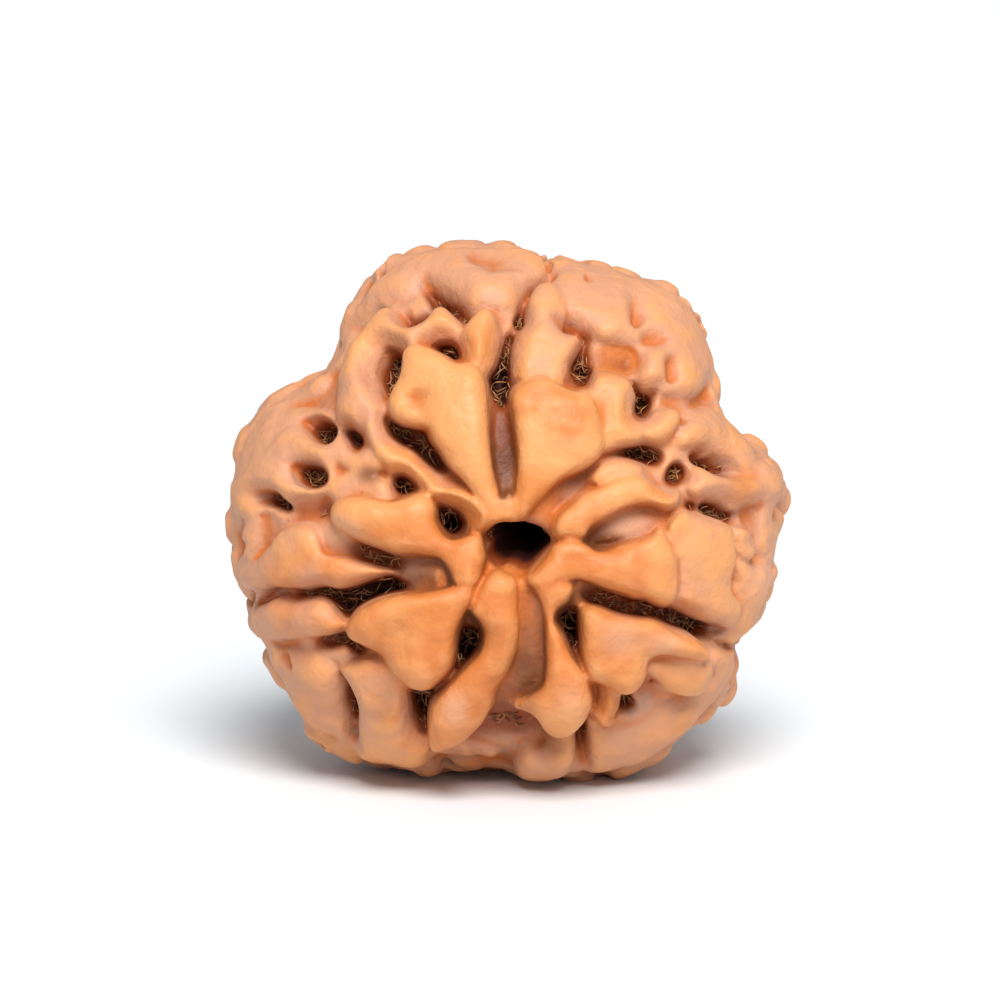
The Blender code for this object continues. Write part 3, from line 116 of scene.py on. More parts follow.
FOLDS = (
    # The plate left of the top cleft, with its two peaks, and the top lobe behind it.
    (0.6, 0.45, (-7.4, 5.0), (-7.45, 6.0), (-7.3, 7.2), (-6.9, 8.3), (-6.3, 9.1), (-5.8, 9.7), (-5.35, 9.95),
     (-4.95, 9.6), (-4.6, 9.2), (-4.1, 9.2), (-3.55, 9.7), (-3.2, 10.05), (-2.85, 9.9), (-2.4, 9.4),
     (-2.2, 9.0), (-2.3, 8.2), (-3.0, 7.2), (-4.2, 6.5), (-5.0, 5.8), (-5.6, 5.6), (-6.1, 5.0), (-6.3, 4.6),
     (-6.9, 4.7)),
    (0.15, 0.1, (-7.1, 8.8), (-6.9, 9.7), (-6.4, 10.1), (-5.6, 10.3), (-4.8, 10.4), (-4.0, 10.9),
     (-3.2, 10.9), (-2.4, 10.4), (-1.9, 9.8), (-1.2, 9.8), (-0.6, 9.7), (-0.1, 9.9), (0.3, 10.4),
     (0.7, 10.9), (1.2, 11.3), (1.0, 12.2), (-1.0, 13.0), (-4.0, 13.0), (-6.5, 12.0), (-8.0, 10.0)),
    # The broad lobe right of the cleft.
    (0.4, -0.05, (1.0, 10.7), (1.6, 9.6), (2.4, 9.1), (3.1, 8.55), (3.6, 8.35), (4.2, 8.3), (4.8, 8.1),
     (5.0, 7.6), (4.9, 7.0), (5.2, 6.6), (5.7, 6.35), (6.3, 6.2), (7.0, 6.1), (7.7, 6.3), (8.6, 7.5),
     (8.6, 9.0), (7.7, 10.6), (6.4, 11.6), (5.0, 12.2), (3.5, 12.4), (2.0, 12.2), (1.3, 11.4)),
    # The flank left of the crevice at the lower left, and the left lobe's front with its three pits.
    (0.05, -0.1, (-7.5, -5.2), (-7.5, -6.2), (-7.5, -7.0), (-7.2, -8.1), (-7.8, -8.9), (-9.4, -7.9),
     (-10.6, -6.2), (-11.2, -4.6), (-10.2, -4.2), (-9.0, -4.3), (-8.2, -4.5)),
    (0.1, 0.0, (-7.5, 2.1), (-7.35, 3.0), (-7.3, 4.0), (-7.4, 5.0), (-8.0, 5.8), (-9.0, 6.1), (-10.6, 6.3),
     (-12.0, 5.0), (-12.6, 3.0), (-12.2, 1.2), (-11.4, 1.0), (-10.6, 1.3), (-9.6, 1.7), (-8.5, 2.0)),
    # Right lobe: two folds, and what lies right of the block above its cleft.
    (0.1, -0.1, (6.5, 4.0), (7.2, 4.0), (8.0, 3.95), (8.8, 3.6), (9.4, 3.3), (10.0, 3.4), (11.0, 3.6),
     (11.6, 4.4), (10.4, 5.6), (8.4, 6.0), (7.2, 5.7), (6.6, 4.9)),
    (0.45, 0.1, (6.9, 2.3), (7.1, 3.0), (7.5, 3.4), (8.1, 3.15), (8.9, 2.95), (9.8, 3.0), (11.0, 3.2),
     (11.9, 2.6), (11.4, 1.6), (10.2, 1.6), (9.3, 1.75), (8.6, 1.95), (7.8, 2.0), (7.2, 1.95)),
    (0.3, 0.05, (8.9, -0.7), (9.4, -0.6), (10.0, -0.7), (11.0, -1.0), (10.9, -2.3), (10.0, -3.3),
     (9.0, -3.7), (8.9, -2.6), (8.8, -1.6)),
    # Underneath, right of the stub.
    (0.1, -0.05, (2.7, -8.3), (3.4, -7.7), (4.4, -7.7), (5.4, -7.3), (6.2, -6.7), (7.0, -6.4), (7.7, -5.8),
     (8.0, -5.0), (8.0, -4.3), (9.0, -4.2), (9.6, -5.0), (9.2, -6.4), (8.0, -8.0), (6.0, -9.4),
     (4.0, -10.0), (2.7, -9.8)),
)
BLOCKS = (
    # Tooth and stump either side of the top cleft.
    (0.3, 0.9, (-1.2, 9.55), (-0.95, 9.3), (-0.8, 8.8), (-0.75, 8.2), (-0.85, 7.5), (-1.2, 6.8),
     (-1.9, 7.2), (-2.4, 7.6), (-2.5, 8.1), (-2.25, 8.7), (-1.9, 9.2), (-1.5, 9.5)),
    (0.35, 0.55, (-0.25, 6.9), (-0.25, 7.8), (-0.1, 8.7), (0.25, 9.4), (0.45, 10.1), (0.9, 10.65),
     (1.6, 10.6), (2.0, 9.9), (2.0, 9.2), (1.9, 8.8), (2.45, 8.7), (2.62, 8.4), (2.45, 7.9), (2.1, 7.2),
     (1.9, 6.6), (1.4, 6.3), (0.9, 6.7), (0.5, 6.6)),
    # Pale block right of the upper right petal, and the nub beyond it.
    (0.45, 0.7, (3.0, 6.8), (3.6, 7.1), (4.1, 7.0), (4.6, 6.7), (4.9, 6.3), (4.95, 5.7), (5.05, 5.3),
     (5.25, 4.9), (5.2, 4.5), (5.0, 4.2), (4.6, 4.1), (4.0, 4.0), (3.4, 3.9), (2.8, 5.0)),
    (0.3, 0.5, (5.25, 5.35), (5.8, 5.5), (6.2, 5.65), (6.55, 5.5), (6.65, 5.1), (6.4, 4.7), (6.1, 4.35),
     (5.6, 4.2), (5.0, 4.35)),
    # The bright ridge over the right petal and the pale one above it.
    (0.6, 0.75, (1.5, 0.4), (1.6, 1.1), (2.2, 1.7), (2.7, 2.1), (3.3, 2.35), (3.9, 2.7), (4.4, 2.85),
     (5.0, 2.85), (5.35, 2.6), (5.6, 2.35), (6.1, 2.4), (6.5, 2.2), (6.5, 1.8), (6.1, 1.6), (5.3, 1.75),
     (4.6, 1.65), (4.0, 1.4), (3.5, 1.1), (3.0, 0.8), (2.6, 0.3)),
    (0.1, 0.3, (2.9, 2.6), (3.2, 3.2), (3.6, 3.5), (4.4, 3.6), (5.0, 3.4), (5.2, 3.0), (4.6, 2.6),
     (3.6, 2.3)),
    # Fold below the end of the lower right petal's arm, and the peg below that petal.
    (0.5, 0.7, (5.25, -5.15), (5.7, -5.45), (6.0, -5.8), (6.5, -6.05), (7.0, -6.05), (7.45, -5.8),
     (7.75, -5.3), (7.8, -4.8), (7.6, -4.2), (7.2, -4.0), (6.5, -4.2), (5.8, -4.4), (5.2, -4.6)),
    (0.55, 0.75, (3.15, -5.3), (4.3, -5.5), (4.5, -6.2), (4.45, -6.8), (4.15, -7.2), (3.7, -7.35),
     (3.3, -7.2), (3.15, -6.8), (3.1, -6.1)),
    # Lower left, beside the curved petal.
    (0.45, 0.3, (-7.3, -5.0), (-7.0, -4.85), (-6.6, -4.7), (-6.0, -4.5), (-5.0, -4.6), (-4.2, -5.3),
     (-4.3, -6.1), (-4.35, -6.8), (-4.25, -7.4), (-4.0, -7.75), (-3.6, -7.9), (-3.5, -8.2), (-3.6, -8.6),
     (-3.9, -9.1), (-5.2, -9.0), (-6.2, -8.9), (-6.8, -8.6), (-7.0, -8.2), (-6.85, -7.6), (-6.8, -6.9),
     (-6.8, -6.5), (-7.0, -6.1), (-7.1, -5.7), (-7.3, -5.4)),
    # Left lobe, above and below its cleft.
    (0.35, 0.15, (-10.3, 0.0), (-9.8, 0.6), (-9.2, 0.9), (-8.6, 0.9), (-8.2, 0.6), (-8.05, 0.1),
     (-7.8, -0.3), (-7.0, -0.45), (-6.4, -0.65), (-5.7, -0.85), (-5.0, -1.1), (-5.6, -1.7), (-7.3, -1.9),
     (-9.8, -2.0), (-11.6, -1.8), (-12.0, -0.9), (-10.9, -0.6)),
    (0.35, 0.05, (-11.2, -2.4), (-10.3, -2.0), (-8.8, -2.0), (-7.6, -2.2), (-7.0, -2.8), (-7.1, -3.3),
     (-7.5, -3.6), (-8.0, -3.75), (-9.2, -3.9), (-10.8, -4.2), (-11.4, -3.2)),
    # Right lobe, above its cleft.
    (0.4, 0.35, (6.2, 1.0), (6.7, 1.45), (7.2, 1.5), (7.9, 1.35), (8.5, 1.15), (8.85, 0.85), (8.9, 0.2),
     (8.95, -0.5), (8.8, -1.2), (8.75, -1.8), (9.2, -2.4), (8.9, -3.2), (8.0, -3.2), (7.0, -2.9),
     (6.3, -2.5), (6.3, -1.6), (6.3, -0.6), (6.1, 0.3)),
    (0.2, 0.15, (9.05, 0.8), (9.5, 0.75), (9.9, 0.4), (9.95, -0.2), (9.8, -0.6), (9.4, -0.7), (9.1, -0.4)),
    # The stub below the club.
    (0.6, 0.35, (0.2, -8.5), (1.0, -8.2), (1.5, -7.6), (2.2, -7.4), (2.4, -7.9), (2.45, -8.4), (2.2, -9.2),
     (1.2, -9.7), (-0.2, -9.7)),
)

# Ridges as the points of their middle lines: x, z, half-width, level of the crest.
RIDGES = (
    # The ridge that winds from the top left down to the left petal.
    ((-5.85, 5.9, 0.4, 0.3), (-5.85, 4.9, 0.42, 0.45), (-5.35, 3.95, 0.5, 0.55), (-4.6, 3.4, 0.5, 0.6),
     (-4.0, 2.7, 0.42, 0.65), (-3.65, 1.9, 0.42, 0.8)),
    ((-3.6, 2.0, 0.3, 0.6), (-2.8, 1.9, 0.3, 0.5), (-2.0, 1.5, 0.4, 0.5), (-1.6, 1.1, 0.4, 0.6)),
    # Webs between the left lobe and that ridge.
    ((-7.3, 4.0, 0.6, -0.1), (-6.6, 3.6, 0.6, 0.0), (-5.9, 3.4, 0.5, 0.1)),
    ((-7.2, 2.3, 0.6, -0.1), (-6.3, 2.6, 0.6, -0.05), (-5.5, 2.2, 0.5, 0.1)),
    # Far edge of the top lobe.
    ((-0.5, 12.0, 0.4, 0.1), (0.5, 11.9, 0.5, 0.15), (0.9, 11.3, 0.35, 0.1)),
)

# Soft rises and hollows, added to whatever lies there: x, z, half-width, rise.
SWELLS = (
    # Floors of the valleys that run out from the tunnel.
    ((-0.6, 2.4, 1.1, 0.6), (-0.6, 3.6, 1.1, 0.25), (-0.7, 4.6, 0.9, 0.0)),
    ((0.35, -1.6, 1.2, 0.85), (0.5, -3.4, 1.2, 0.6), (0.4, -5.4, 1.2, 0.5)),
    ((1.2, 1.7, 1.0, 0.55), (2.6, 2.9, 0.8, 0.25)),
    ((3.2, 0.5, 0.7, 0.35), (5.8, 0.8, 0.8, 0.45)),
    ((-3.2, -1.1, 0.9, 0.8), (-4.3, -1.0, 0.6, 0.2)),
    ((-3.6, 3.0, 0.5, 0.3), (-2.4, 2.2, 0.5, 0.5), (-1.7, 1.3, 0.4, 0.5)),
    ((2.2, -1.7, 0.7, 0.7), (3.4, -1.9, 0.5, 0.3)),
    ((-7.4, 0.5, 0.6, 0.25), (-6.7, 0.3, 0.5, 0.1)),
    ((6.8, 4.4, 0.6, 0.2), (6.6, 3.9, 0.6, 0.1)),
    ((5.7, 3.0, 0.5, 0.3),),
    # Hollows.
    ((-1.7, 11.7, 0.3, -0.35), (-1.0, 11.5, 0.35, -0.5), (-0.1, 11.4, 0.3, -0.2)),
    ((-9.9, 3.9, 0.5, -0.1), (-9.2, 3.5, 0.6, -0.3)),
    ((-9.2, 5.3, 0.6, -0.3), (-8.6, 5.6, 0.5, -0.25)),
    ((-6.0, 0.0, 0.5, -0.5), (-5.0, -0.6, 0.4, -0.4)),
    ((-9.2, 1.4, 0.45, -0.3), (-7.9, 1.4, 0.45, -0.5)),
    ((3.2, 7.6, 0.5, -0.3), (4.4, 7.5, 0.45, -0.4)),
    ((2.5, 7.2, 0.35, -0.3),),
    ((3.6, 6.5, 0.4, -0.15), (3.6, 5.6, 0.4, -0.3), (3.65, 4.6, 0.4, -0.15)),
    ((1.9, 9.6, 0.7, -0.15), (3.2, 9.8, 0.7, -0.15)),
    ((4.75, 9.9, 0.35, -0.25), (4.85, 9.3, 0.35, -0.35)),
    ((5.4, 8.4, 0.45, -0.3), (6.0, 8.5, 0.4, -0.15)),
    ((6.1, 7.5, 0.3, -0.25), (6.3, 6.9, 0.35, -0.3)),
    ((1.1, -7.4, 0.5, -0.5), (0.3, -7.2, 0.6, -0.3)),
    ((-0.8, -7.6, 0.9, -0.45), (-2.6, -8.5, 0.7, -0.5)),
    ((3.6, -8.0, 0.9, -0.2), (5.6, -6.6, 0.7, -0.25)),
    ((-5.0, -5.9, 0.5, -0.3), (-5.7, -5.2, 0.5, -0.2)),
    ((6.1, -4.9, 0.6, -0.2),),
    ((6.7, 0.4, 0.45, -0.3), (7.2, 0.5, 0.3, -0.1)),
    ((9.5, 0.2, 0.3, -0.2),),
    ((9.8, 1.5, 0.5, -0.25),),
    ((-6.0, -3.7, 0.6, -0.25), (-5.2, -4.1, 0.5, -0.2)),
)

# The same on the petals.
DENTS = (
    ((-4.1, 5.9, 0.45, -0.4), (-3.9, 5.3, 0.3, -0.15)),
    ((-2.0, 6.6, 0.8, 0.12), (-1.9, 4.2, 0.5, 0.15)),
    ((1.6, 5.6, 0.7, 0.12), (1.2, 3.8, 0.6, -0.12)),
    ((-6.6, 1.35, 0.5, 0.12), (-4.4, 1.35, 0.5, 0.12), (-3.0, -0.1, 0.5, -0.1)),
    ((-5.5, -4.4, 0.4, -0.3), (-4.8, -3.5, 0.45, -0.2)),
    ((-6.2, -2.95, 0.4, 0.15), (-4.4, -2.35, 0.4, 0.15), (-2.8, -2.1, 0.35, 0.1)),
    ((-4.0, -5.1, 0.6, 0.15),),
    ((-1.1, -3.2, 0.4, 0.15), (-1.2, -5.0, 0.35, 0.1), (-2.6, -7.0, 0.5, 0.12)),
    ((2.1, -6.4, 0.6, 0.25), (1.4, -3.9, 0.4, -0.1)),
    ((4.4, -0.9, 0.5, 0.1), (2.4, -0.6, 0.4, -0.15)),
    ((4.2, -4.3, 0.7, -0.2), (5.6, -3.9, 0.4, -0.15)),
    ((3.4, -3.1, 0.5, 0.1), (6.6, -3.9, 0.4, 0.12)),
)

# Pits and clefts: level of the floor, level it reaches at its far side, then the points of its outline.
PITS = (
    # The clefts along the crests of the three lobes.
    (-2.4, -1.8, (-1.3, 6.6), (-1.0, 6.0), (-0.75, 5.35), (-0.4, 5.6), (-0.25, 6.1), (-0.27, 6.9),
     (-0.25, 7.6), (-0.15, 8.3), (0.05, 8.8), (0.25, 9.15), (0.15, 9.5), (-0.05, 9.4), (-0.25, 9.0),
     (-0.5, 8.7), (-0.65, 8.2), (-0.8, 7.6), (-0.95, 7.2)),
    (-2.4, -1.4, (-4.3, -1.7), (-4.8, -1.25), (-5.2, -1.15), (-5.9, -1.35), (-6.6, -1.6), (-7.3, -1.75),
     (-8.0, -1.65), (-8.8, -1.8), (-9.6, -1.85), (-10.2, -1.85), (-10.6, -2.1), (-10.8, -2.4),
     (-10.5, -2.3), (-10.0, -2.1), (-9.4, -2.3), (-8.8, -2.25), (-8.2, -2.15), (-7.7, -2.35),
     (-7.3, -2.8), (-7.0, -3.05), (-6.5, -3.1), (-5.8, -2.6), (-5.0, -2.3)),
    (-1.0, -2.0, (2.7, -1.9), (3.4, -1.7), (4.2, -1.9), (5.0, -2.1), (5.6, -2.3), (6.2, -2.45),
     (7.0, -2.85), (7.6, -3.15), (8.3, -3.4), (8.7, -3.6), (8.3, -3.95), (7.8, -4.0), (7.3, -4.0),
     (6.6, -3.7), (5.8, -3.3), (5.0, -3.1), (4.2, -2.9), (3.6, -2.6), (3.0, -2.4)),
    # Left of the top cleft.
    (-1.5, -1.5, (-5.1, 8.15), (-4.75, 7.9), (-4.55, 7.4), (-4.5, 6.9), (-4.9, 6.4), (-5.1, 5.9),
     (-5.35, 5.9), (-5.55, 6.4), (-5.75, 7.0), (-5.7, 7.6), (-5.45, 8.1)),
    (-1.5, -1.5, (-5.35, 5.2), (-4.95, 5.3), (-4.4, 5.0), (-3.9, 4.8), (-3.5, 4.4), (-3.2, 3.9),
     (-2.85, 3.4), (-2.8, 3.1), (-3.2, 3.0), (-3.7, 3.35), (-4.2, 3.85), (-4.8, 4.2), (-5.2, 4.6)),
    (-1.6, -1.6, (-5.0, 2.85), (-4.6, 2.9), (-4.25, 2.6), (-4.1, 2.25), (-4.4, 1.95), (-4.8, 2.05),
     (-5.05, 2.4)),
    (-2.6, -2.6, (-3.35, 1.65), (-2.9, 1.6), (-2.4, 1.4), (-2.15, 1.0), (-2.2, 0.65), (-2.6, 0.3),
     (-3.1, 0.3), (-3.35, 0.9)),
    (-1.6, -1.6, (-3.6, 8.1), (-3.2, 8.35), (-2.7, 8.35), (-2.4, 8.0), (-2.3, 7.3), (-2.7, 7.3),
     (-3.1, 7.5), (-3.6, 7.8)),
    # Left lobe.
    (-1.4, -1.4, (-8.95, 5.3), (-8.3, 5.4), (-7.8, 5.2), (-7.55, 4.8), (-7.7, 4.35), (-8.1, 4.3),
     (-8.6, 4.6)),
    (-1.4, -1.4, (-9.3, 3.3), (-8.8, 3.45), (-8.2, 3.35), (-7.85, 3.0), (-7.9, 2.55), (-8.5, 2.4),
     (-9.1, 2.7)),
    (-1.4, -1.4, (-10.75, 2.2), (-10.2, 2.25), (-9.8, 1.95), (-9.5, 1.5), (-9.8, 1.35), (-10.3, 1.55),
     (-10.8, 1.8)),
    (-1.8, -1.8, (-7.4, -5.3), (-7.0, -5.8), (-6.7, -6.6), (-6.7, -7.4), (-6.75, -8.1), (-7.1, -7.8),
     (-7.4, -6.9), (-7.4, -6.2)),
    # Under the tunnel.
    (-2.6, -2.6, (-2.6, -3.2), (-2.0, -3.15), (-1.5, -3.3), (-1.3, -3.7), (-1.5, -4.3), (-2.0, -4.9),
     (-2.5, -5.4), (-3.1, -5.9), (-3.4, -6.5), (-3.5, -7.2), (-3.7, -7.75), (-4.05, -7.7), (-4.3, -7.2),
     (-4.4, -6.4), (-4.4, -5.6), (-3.8, -5.5), (-3.2, -5.2), (-2.7, -4.9), (-2.8, -4.0)),
    (-2.4, -2.0, (1.5, -3.0), (1.7, -2.65), (2.0, -2.45), (2.4, -2.55), (2.7, -2.9), (2.75, -3.8),
     (2.8, -4.6), (2.95, -5.2), (2.8, -5.4), (2.4, -5.0), (2.0, -4.3), (1.6, -3.6)),
    (-1.7, -1.7, (4.3, -5.9), (4.7, -5.8), (4.9, -6.4), (5.15, -6.9), (4.95, -7.2), (4.5, -7.15),
     (4.1, -7.1), (4.3, -6.6)),
    (-1.3, -1.3, (2.8, -5.4), (3.15, -5.4), (3.25, -6.1), (3.15, -6.6), (2.95, -6.3)),
    # Right of the top cleft, and the right lobe.
    (-2.0, -2.0, (4.8, 5.3), (4.85, 5.9), (5.2, 6.3), (5.75, 6.35), (5.7, 5.85), (5.5, 5.45),
     (5.2, 5.2)),
    (-1.5, -1.5, (5.95, 2.75), (6.2, 3.25), (6.6, 3.5), (7.0, 3.3), (7.0, 2.8), (6.5, 2.45), (6.1, 2.5)),
    (-1.6, -1.2, (7.5, 1.45), (7.7, 1.9), (8.4, 1.85), (9.0, 1.6), (9.5, 1.35), (9.3, 0.95), (8.9, 0.95),
     (8.4, 1.15)),
)

# Smaller pits and creases as the points of their middle lines: x, z, half-width, rise.
CREASES = (
    ((0.1, 9.4, 0.16, -1.4), (0.3, 10.2, 0.1, -0.8), (0.5, 10.6, 0.08, -0.6), (0.95, 10.8, 0.12, -0.8),
     (1.45, 11.05, 0.1, -0.7)),
    ((-6.9, 4.8, 0.25, -1.3), (-6.7, 4.5, 0.28, -1.4), (-6.6, 4.15, 0.25, -1.3)),
    ((-4.75, 9.55, 0.25, -0.6), (-4.5, 9.25, 0.3, -1.0), (-4.0, 9.5, 0.3, -0.7)),
    ((-3.75, 10.85, 0.25, -0.7), (-3.35, 10.4, 0.35, -1.2), (-2.75, 10.15, 0.3, -1.0),
     (-2.2, 9.5, 0.28, -0.7)),
    ((-5.95, 9.8, 0.25, -0.6), (-6.6, 9.0, 0.35, -0.8)),
    ((-11.35, 0.0, 0.15, -0.6),),
    ((-8.3, -4.1, 0.2, -0.7), (-7.9, -4.05, 0.25, -0.9), (-7.2, -3.85, 0.25, -0.9), (-6.5, -4.3, 0.2, -0.6)),
    ((-9.6, -4.6, 0.08, -0.3), (-9.3, -5.0, 0.08, -0.3)),
    ((2.5, -7.4, 0.28, -1.3), (2.65, -8.2, 0.25, -1.2), (2.75, -8.9, 0.2, -0.8)),
    ((3.3, -0.05, 0.15, -0.4), (4.2, 0.2, 0.1, -0.3)),
    ((4.75, 6.65, 0.12, -1.0), (5.05, 6.25, 0.14, -1.4)),
    ((4.4, 3.8, 0.2, -0.8), (4.95, 3.75, 0.28, -1.5), (5.6, 3.6, 0.3, -0.9)),
    ((7.6, 3.7, 0.25, -0.8), (8.2, 3.4, 0.3, -1.2), (8.8, 3.2, 0.25, -0.9)),
    ((7.15, 1.6, 0.22, -1.0),),
    ((9.0, -0.9, 0.1, -0.4), (8.95, -1.5, 0.1, -0.4)),
    ((1.65, 9.15, 0.25, -0.4), (2.0, 8.9, 0.25, -0.6), (2.7, 8.75, 0.2, -0.4)),
    ((2.9, 8.6, 0.2, -0.4), (2.7, 8.1, 0.2, -0.7), (2.5, 7.4, 0.3, -0.9), (2.7, 6.9, 0.3, -0.9)),
    ((2.85, 10.75, 0.12, -0.3),),
    ((4.75, 9.7, 0.2, -0.2), (4.85, 9.1, 0.2, -0.4)),
    ((5.3, 8.5, 0.25, -0.35), (5.65, 8.3, 0.25, -0.35)),
    ((6.15, 7.4, 0.2, -0.3), (6.25, 6.9, 0.2, -0.35)),
    ((6.75, 5.15, 0.12, -0.6),),
    ((5.75, -5.65, 0.1, -0.6),),
)


def by_direction(table, angle, spread):
    """The table's radius in each direction, averaged over the spread in degrees to either side."""
    directions, radii = zip(*table)
    turns = np.linspace(-spread, spread, 7)
    return sum(np.interp(np.degrees(angle) + turn, directions, radii, period=360) for turn in turns) / 7


def skin_radius(angle, y):
    """Distance from the tunnel to the skin, were the seed a prism: rounder away from its middle."""
    fine, broad = by_direction(OUTLINE, angle, 2.5), by_direction(OUTLINE, angle, 16.0)
    return broad + (fine - broad) * np.exp(-((y / 3.2) ** 2))


def on_skin(angle, y):
    """The skin's point in each direction at each place along the tunnel."""
    share = (1 - np.clip(np.abs(y) / HALF_LENGTH, 0, 1) ** SKIN_POWER) ** (1 / SKIN_POWER)
    radius = skin_radius(angle, y) * share
    return np.stack([radius * np.cos(angle), y + 0 * radius, radius * np.sin(angle)], axis=-1)


def smooth_max(a, b, softness):
    """The higher of the two, rounded where they meet."""
    overlap = np.maximum(softness - np.abs(a - b), 0) / softness
    return np.maximum(a, b) + overlap ** 2 * softness / 4


def in_drawing(places, end):
    """Where each place of the near end (-1) or the far end (+1) lies in the drawing, and how much it is
    part of that end. The far end has the same drawing, turned half round the upright and by one lobe."""
    x, y, z = places.T
    if end > 0:
        angle = np.arctan2(z, x)
        drawn = np.pi - math.radians(13 + 120) - angle
        radius = np.hypot(x, z) * skin_radius(drawn, 0.0) / skin_radius(angle, 0.0)
        x, z = radius * np.cos(drawn), radius * np.sin(drawn)
    share = np.clip((end * y - 0.8) / 1.8, 0, 1)
    return np.stack([x, z], axis=-1), share * share * (3 - 2 * share)


def rounded(points):
    """A smooth closed line through the points."""
    points = np.array(points)
    before, after, beyond = np.roll(points, 1, 0), np.roll(points, -1, 0), np.roll(points, -2, 0)
    share = np.linspace(0, 1, 6, endpoint=False)[:, None, None]
    line = points + 0.5 * share * (after - before + share * (
        2 * before - 5 * points + 4 * after - beyond + share * (3 * points - before - 3 * after + beyond)))
    return line.transpose(1, 0, 2).reshape(-1, 2)


def depth_inside(outline, places):
    """How deep each place lies inside the outline: the distance to it outside (negative), and inside a
    measure that grows from it like the distance but has no creases where the sides are equally far."""
    x, z = places.T
    near, crowd, inside = np.full(len(x), 1e9), np.zeros(len(x)), np.zeros(len(x), bool)
    for (x1, z1), (x2, z2) in zip(outline, np.roll(outline, -1, axis=0)):
        across, up = x2 - x1, z2 - z1
        share = np.clip(((x - x1) * across + (z - z1) * up) / (across ** 2 + up ** 2 + 1e-12), 0, 1)
        away = (x - x1 - share * across) ** 2 + (z - z1 - share * up) ** 2
        near = np.minimum(near, away)
        crowd += math.hypot(across, up) / ((x - x1 - across / 2) ** 2 + (z - z1 - up / 2) ** 2 + 0.05) ** 2
        if up:
            inside ^= ((z1 > z) != (z2 > z)) & (x < x1 + (z - z1) * across / up)
    smooth = np.sqrt(np.maximum((math.pi / 2 / crowd) ** (2 / 3) - 0.05, 0))
    return np.where(inside, smooth, -np.sqrt(near))


def shapes_near(shapes, places, reach):
    """For each shape: the places it reaches, how deep inside its outline they lie, and its level there."""
    radius = np.hypot(*places.T)
    for inner, outer, *points in shapes:
        outline = rounded(points)
        low, high = outline.min(axis=0) - reach, outline.max(axis=0) + reach
        touched = np.flatnonzero(((places > low) & (places < high)).all(axis=1))
        if len(touched):
            first, last = np.hypot(*outline.T).min(), np.hypot(*outline.T).max()
            share = np.clip((radius[touched] - first) / (last - first), 0, 1)
            yield touched, depth_inside(outline, places[touched]), inner + (outer - inner) * share


def raise_shapes(height, places, present, shapes, edge, dome, wall, blend):
    """Pads with a domed top, an edge rounded off to this radius, and sides as steep as the wall."""
    for touched, inside, level in shapes_near(shapes, places, 1.0):
        round_off = edge - np.sqrt(edge ** 2 - np.clip(edge - inside, 0, edge) ** 2)
        rise = dome * (1 - np.exp(-np.maximum(inside, 0)))
        pad = level + rise - round_off - wall * np.maximum(-inside, 0) - 5 * (1 - present[touched])
        height[touched] = smooth_max(height[touched], pad, blend)


def sink_shapes(height, places, present, shapes, wall, rim):
    """Pits whose walls start at the rim's slope and steepen inwards."""
    for touched, inside, level in shapes_near(shapes, places, 0.8):
        funnel = 0.3 - 1.6 * (inside + 0.4) - wall * np.maximum(inside + 0.1, 0)
        pit = np.maximum(level, funnel) + 5 * (1 - present[touched])
        height[touched] = -smooth_max(-height[touched], -pit, rim)


def along(stroke, places):
    """The distance of each place from the stroke's middle line, and the half-width and level there."""
    near = np.full(len(places), 1e9)
    width, level = np.zeros(len(places)), np.zeros(len(places))
    for start, end in zip(stroke[:-1], stroke[1:]):
        run, offset = (end - start)[:-2], places - start[:-2]
        share = np.clip(offset @ run / max(run @ run, 1e-9), 0, 1)
        distance = np.linalg.norm(offset - share[:, None] * run, axis=1)
        closer = distance < near
        near[closer] = distance[closer]
        width[closer] = (start[-2] + share * (end[-2] - start[-2]))[closer]
        level[closer] = (start[-1] + share * (end[-1] - start[-1]))[closer]
    return near, width, level


def strokes_near(strokes, places, reach):
    """For each stroke: the places it reaches, their distance from it, and its half-width and level."""
    for stroke in strokes:
        stroke = np.array(stroke if len(stroke) > 1 else stroke * 2)
        margin = reach + stroke[:, -2].max() * 1.5
        low, high = stroke[:, :-2].min(axis=0) - margin, stroke[:, :-2].max(axis=0) + margin
        touched = np.flatnonzero(((places > low) & (places < high)).all(axis=1))
        if len(touched):
            yield (touched, *along(stroke, places[touched]))


def raise_ridges(height, places, present, strokes, wall, blend):
    """Ridges with domed crests and sides as steep as the wall, blended softly into their surroundings."""
    for touched, distance, width, crest in strokes_near(strokes, places, 1.0):
        edge = np.minimum(0.8 * width, 0.36)
        inside = width - distance
        round_off = edge - np.sqrt(edge ** 2 - np.clip(edge - inside, 0, edge) ** 2)
        dome = 0.16 * width * np.maximum(1 - (distance / width) ** 2, 0)
        ridge = crest + dome - round_off - wall * np.maximum(-inside, 0) - 5 * (1 - present[touched])
        height[touched] = smooth_max(height[touched], ridge, blend)


def sink_creases(height, places, present, strokes, wall, rim):
    """Grooves and round pits of each stroke's width and depth, with walls as steep as the wall."""
    for touched, distance, width, depth in strokes_near(strokes, places, 0.5):
        pit = np.maximum(-depth, 0.2 - wall * (width - distance)) + 5 * (1 - present[touched])
        height[touched] = -smooth_max(-height[touched], -pit, rim)


def add_swells(height, places, present, strokes):
    """Soft rises, or hollows where the rise is negative, added to what is there."""
    for touched, distance, width, rise in strokes_near(strokes, places, 1.5):
        height[touched] += present[touched] * rise * np.exp(-((distance / width) ** 2) * 0.7)


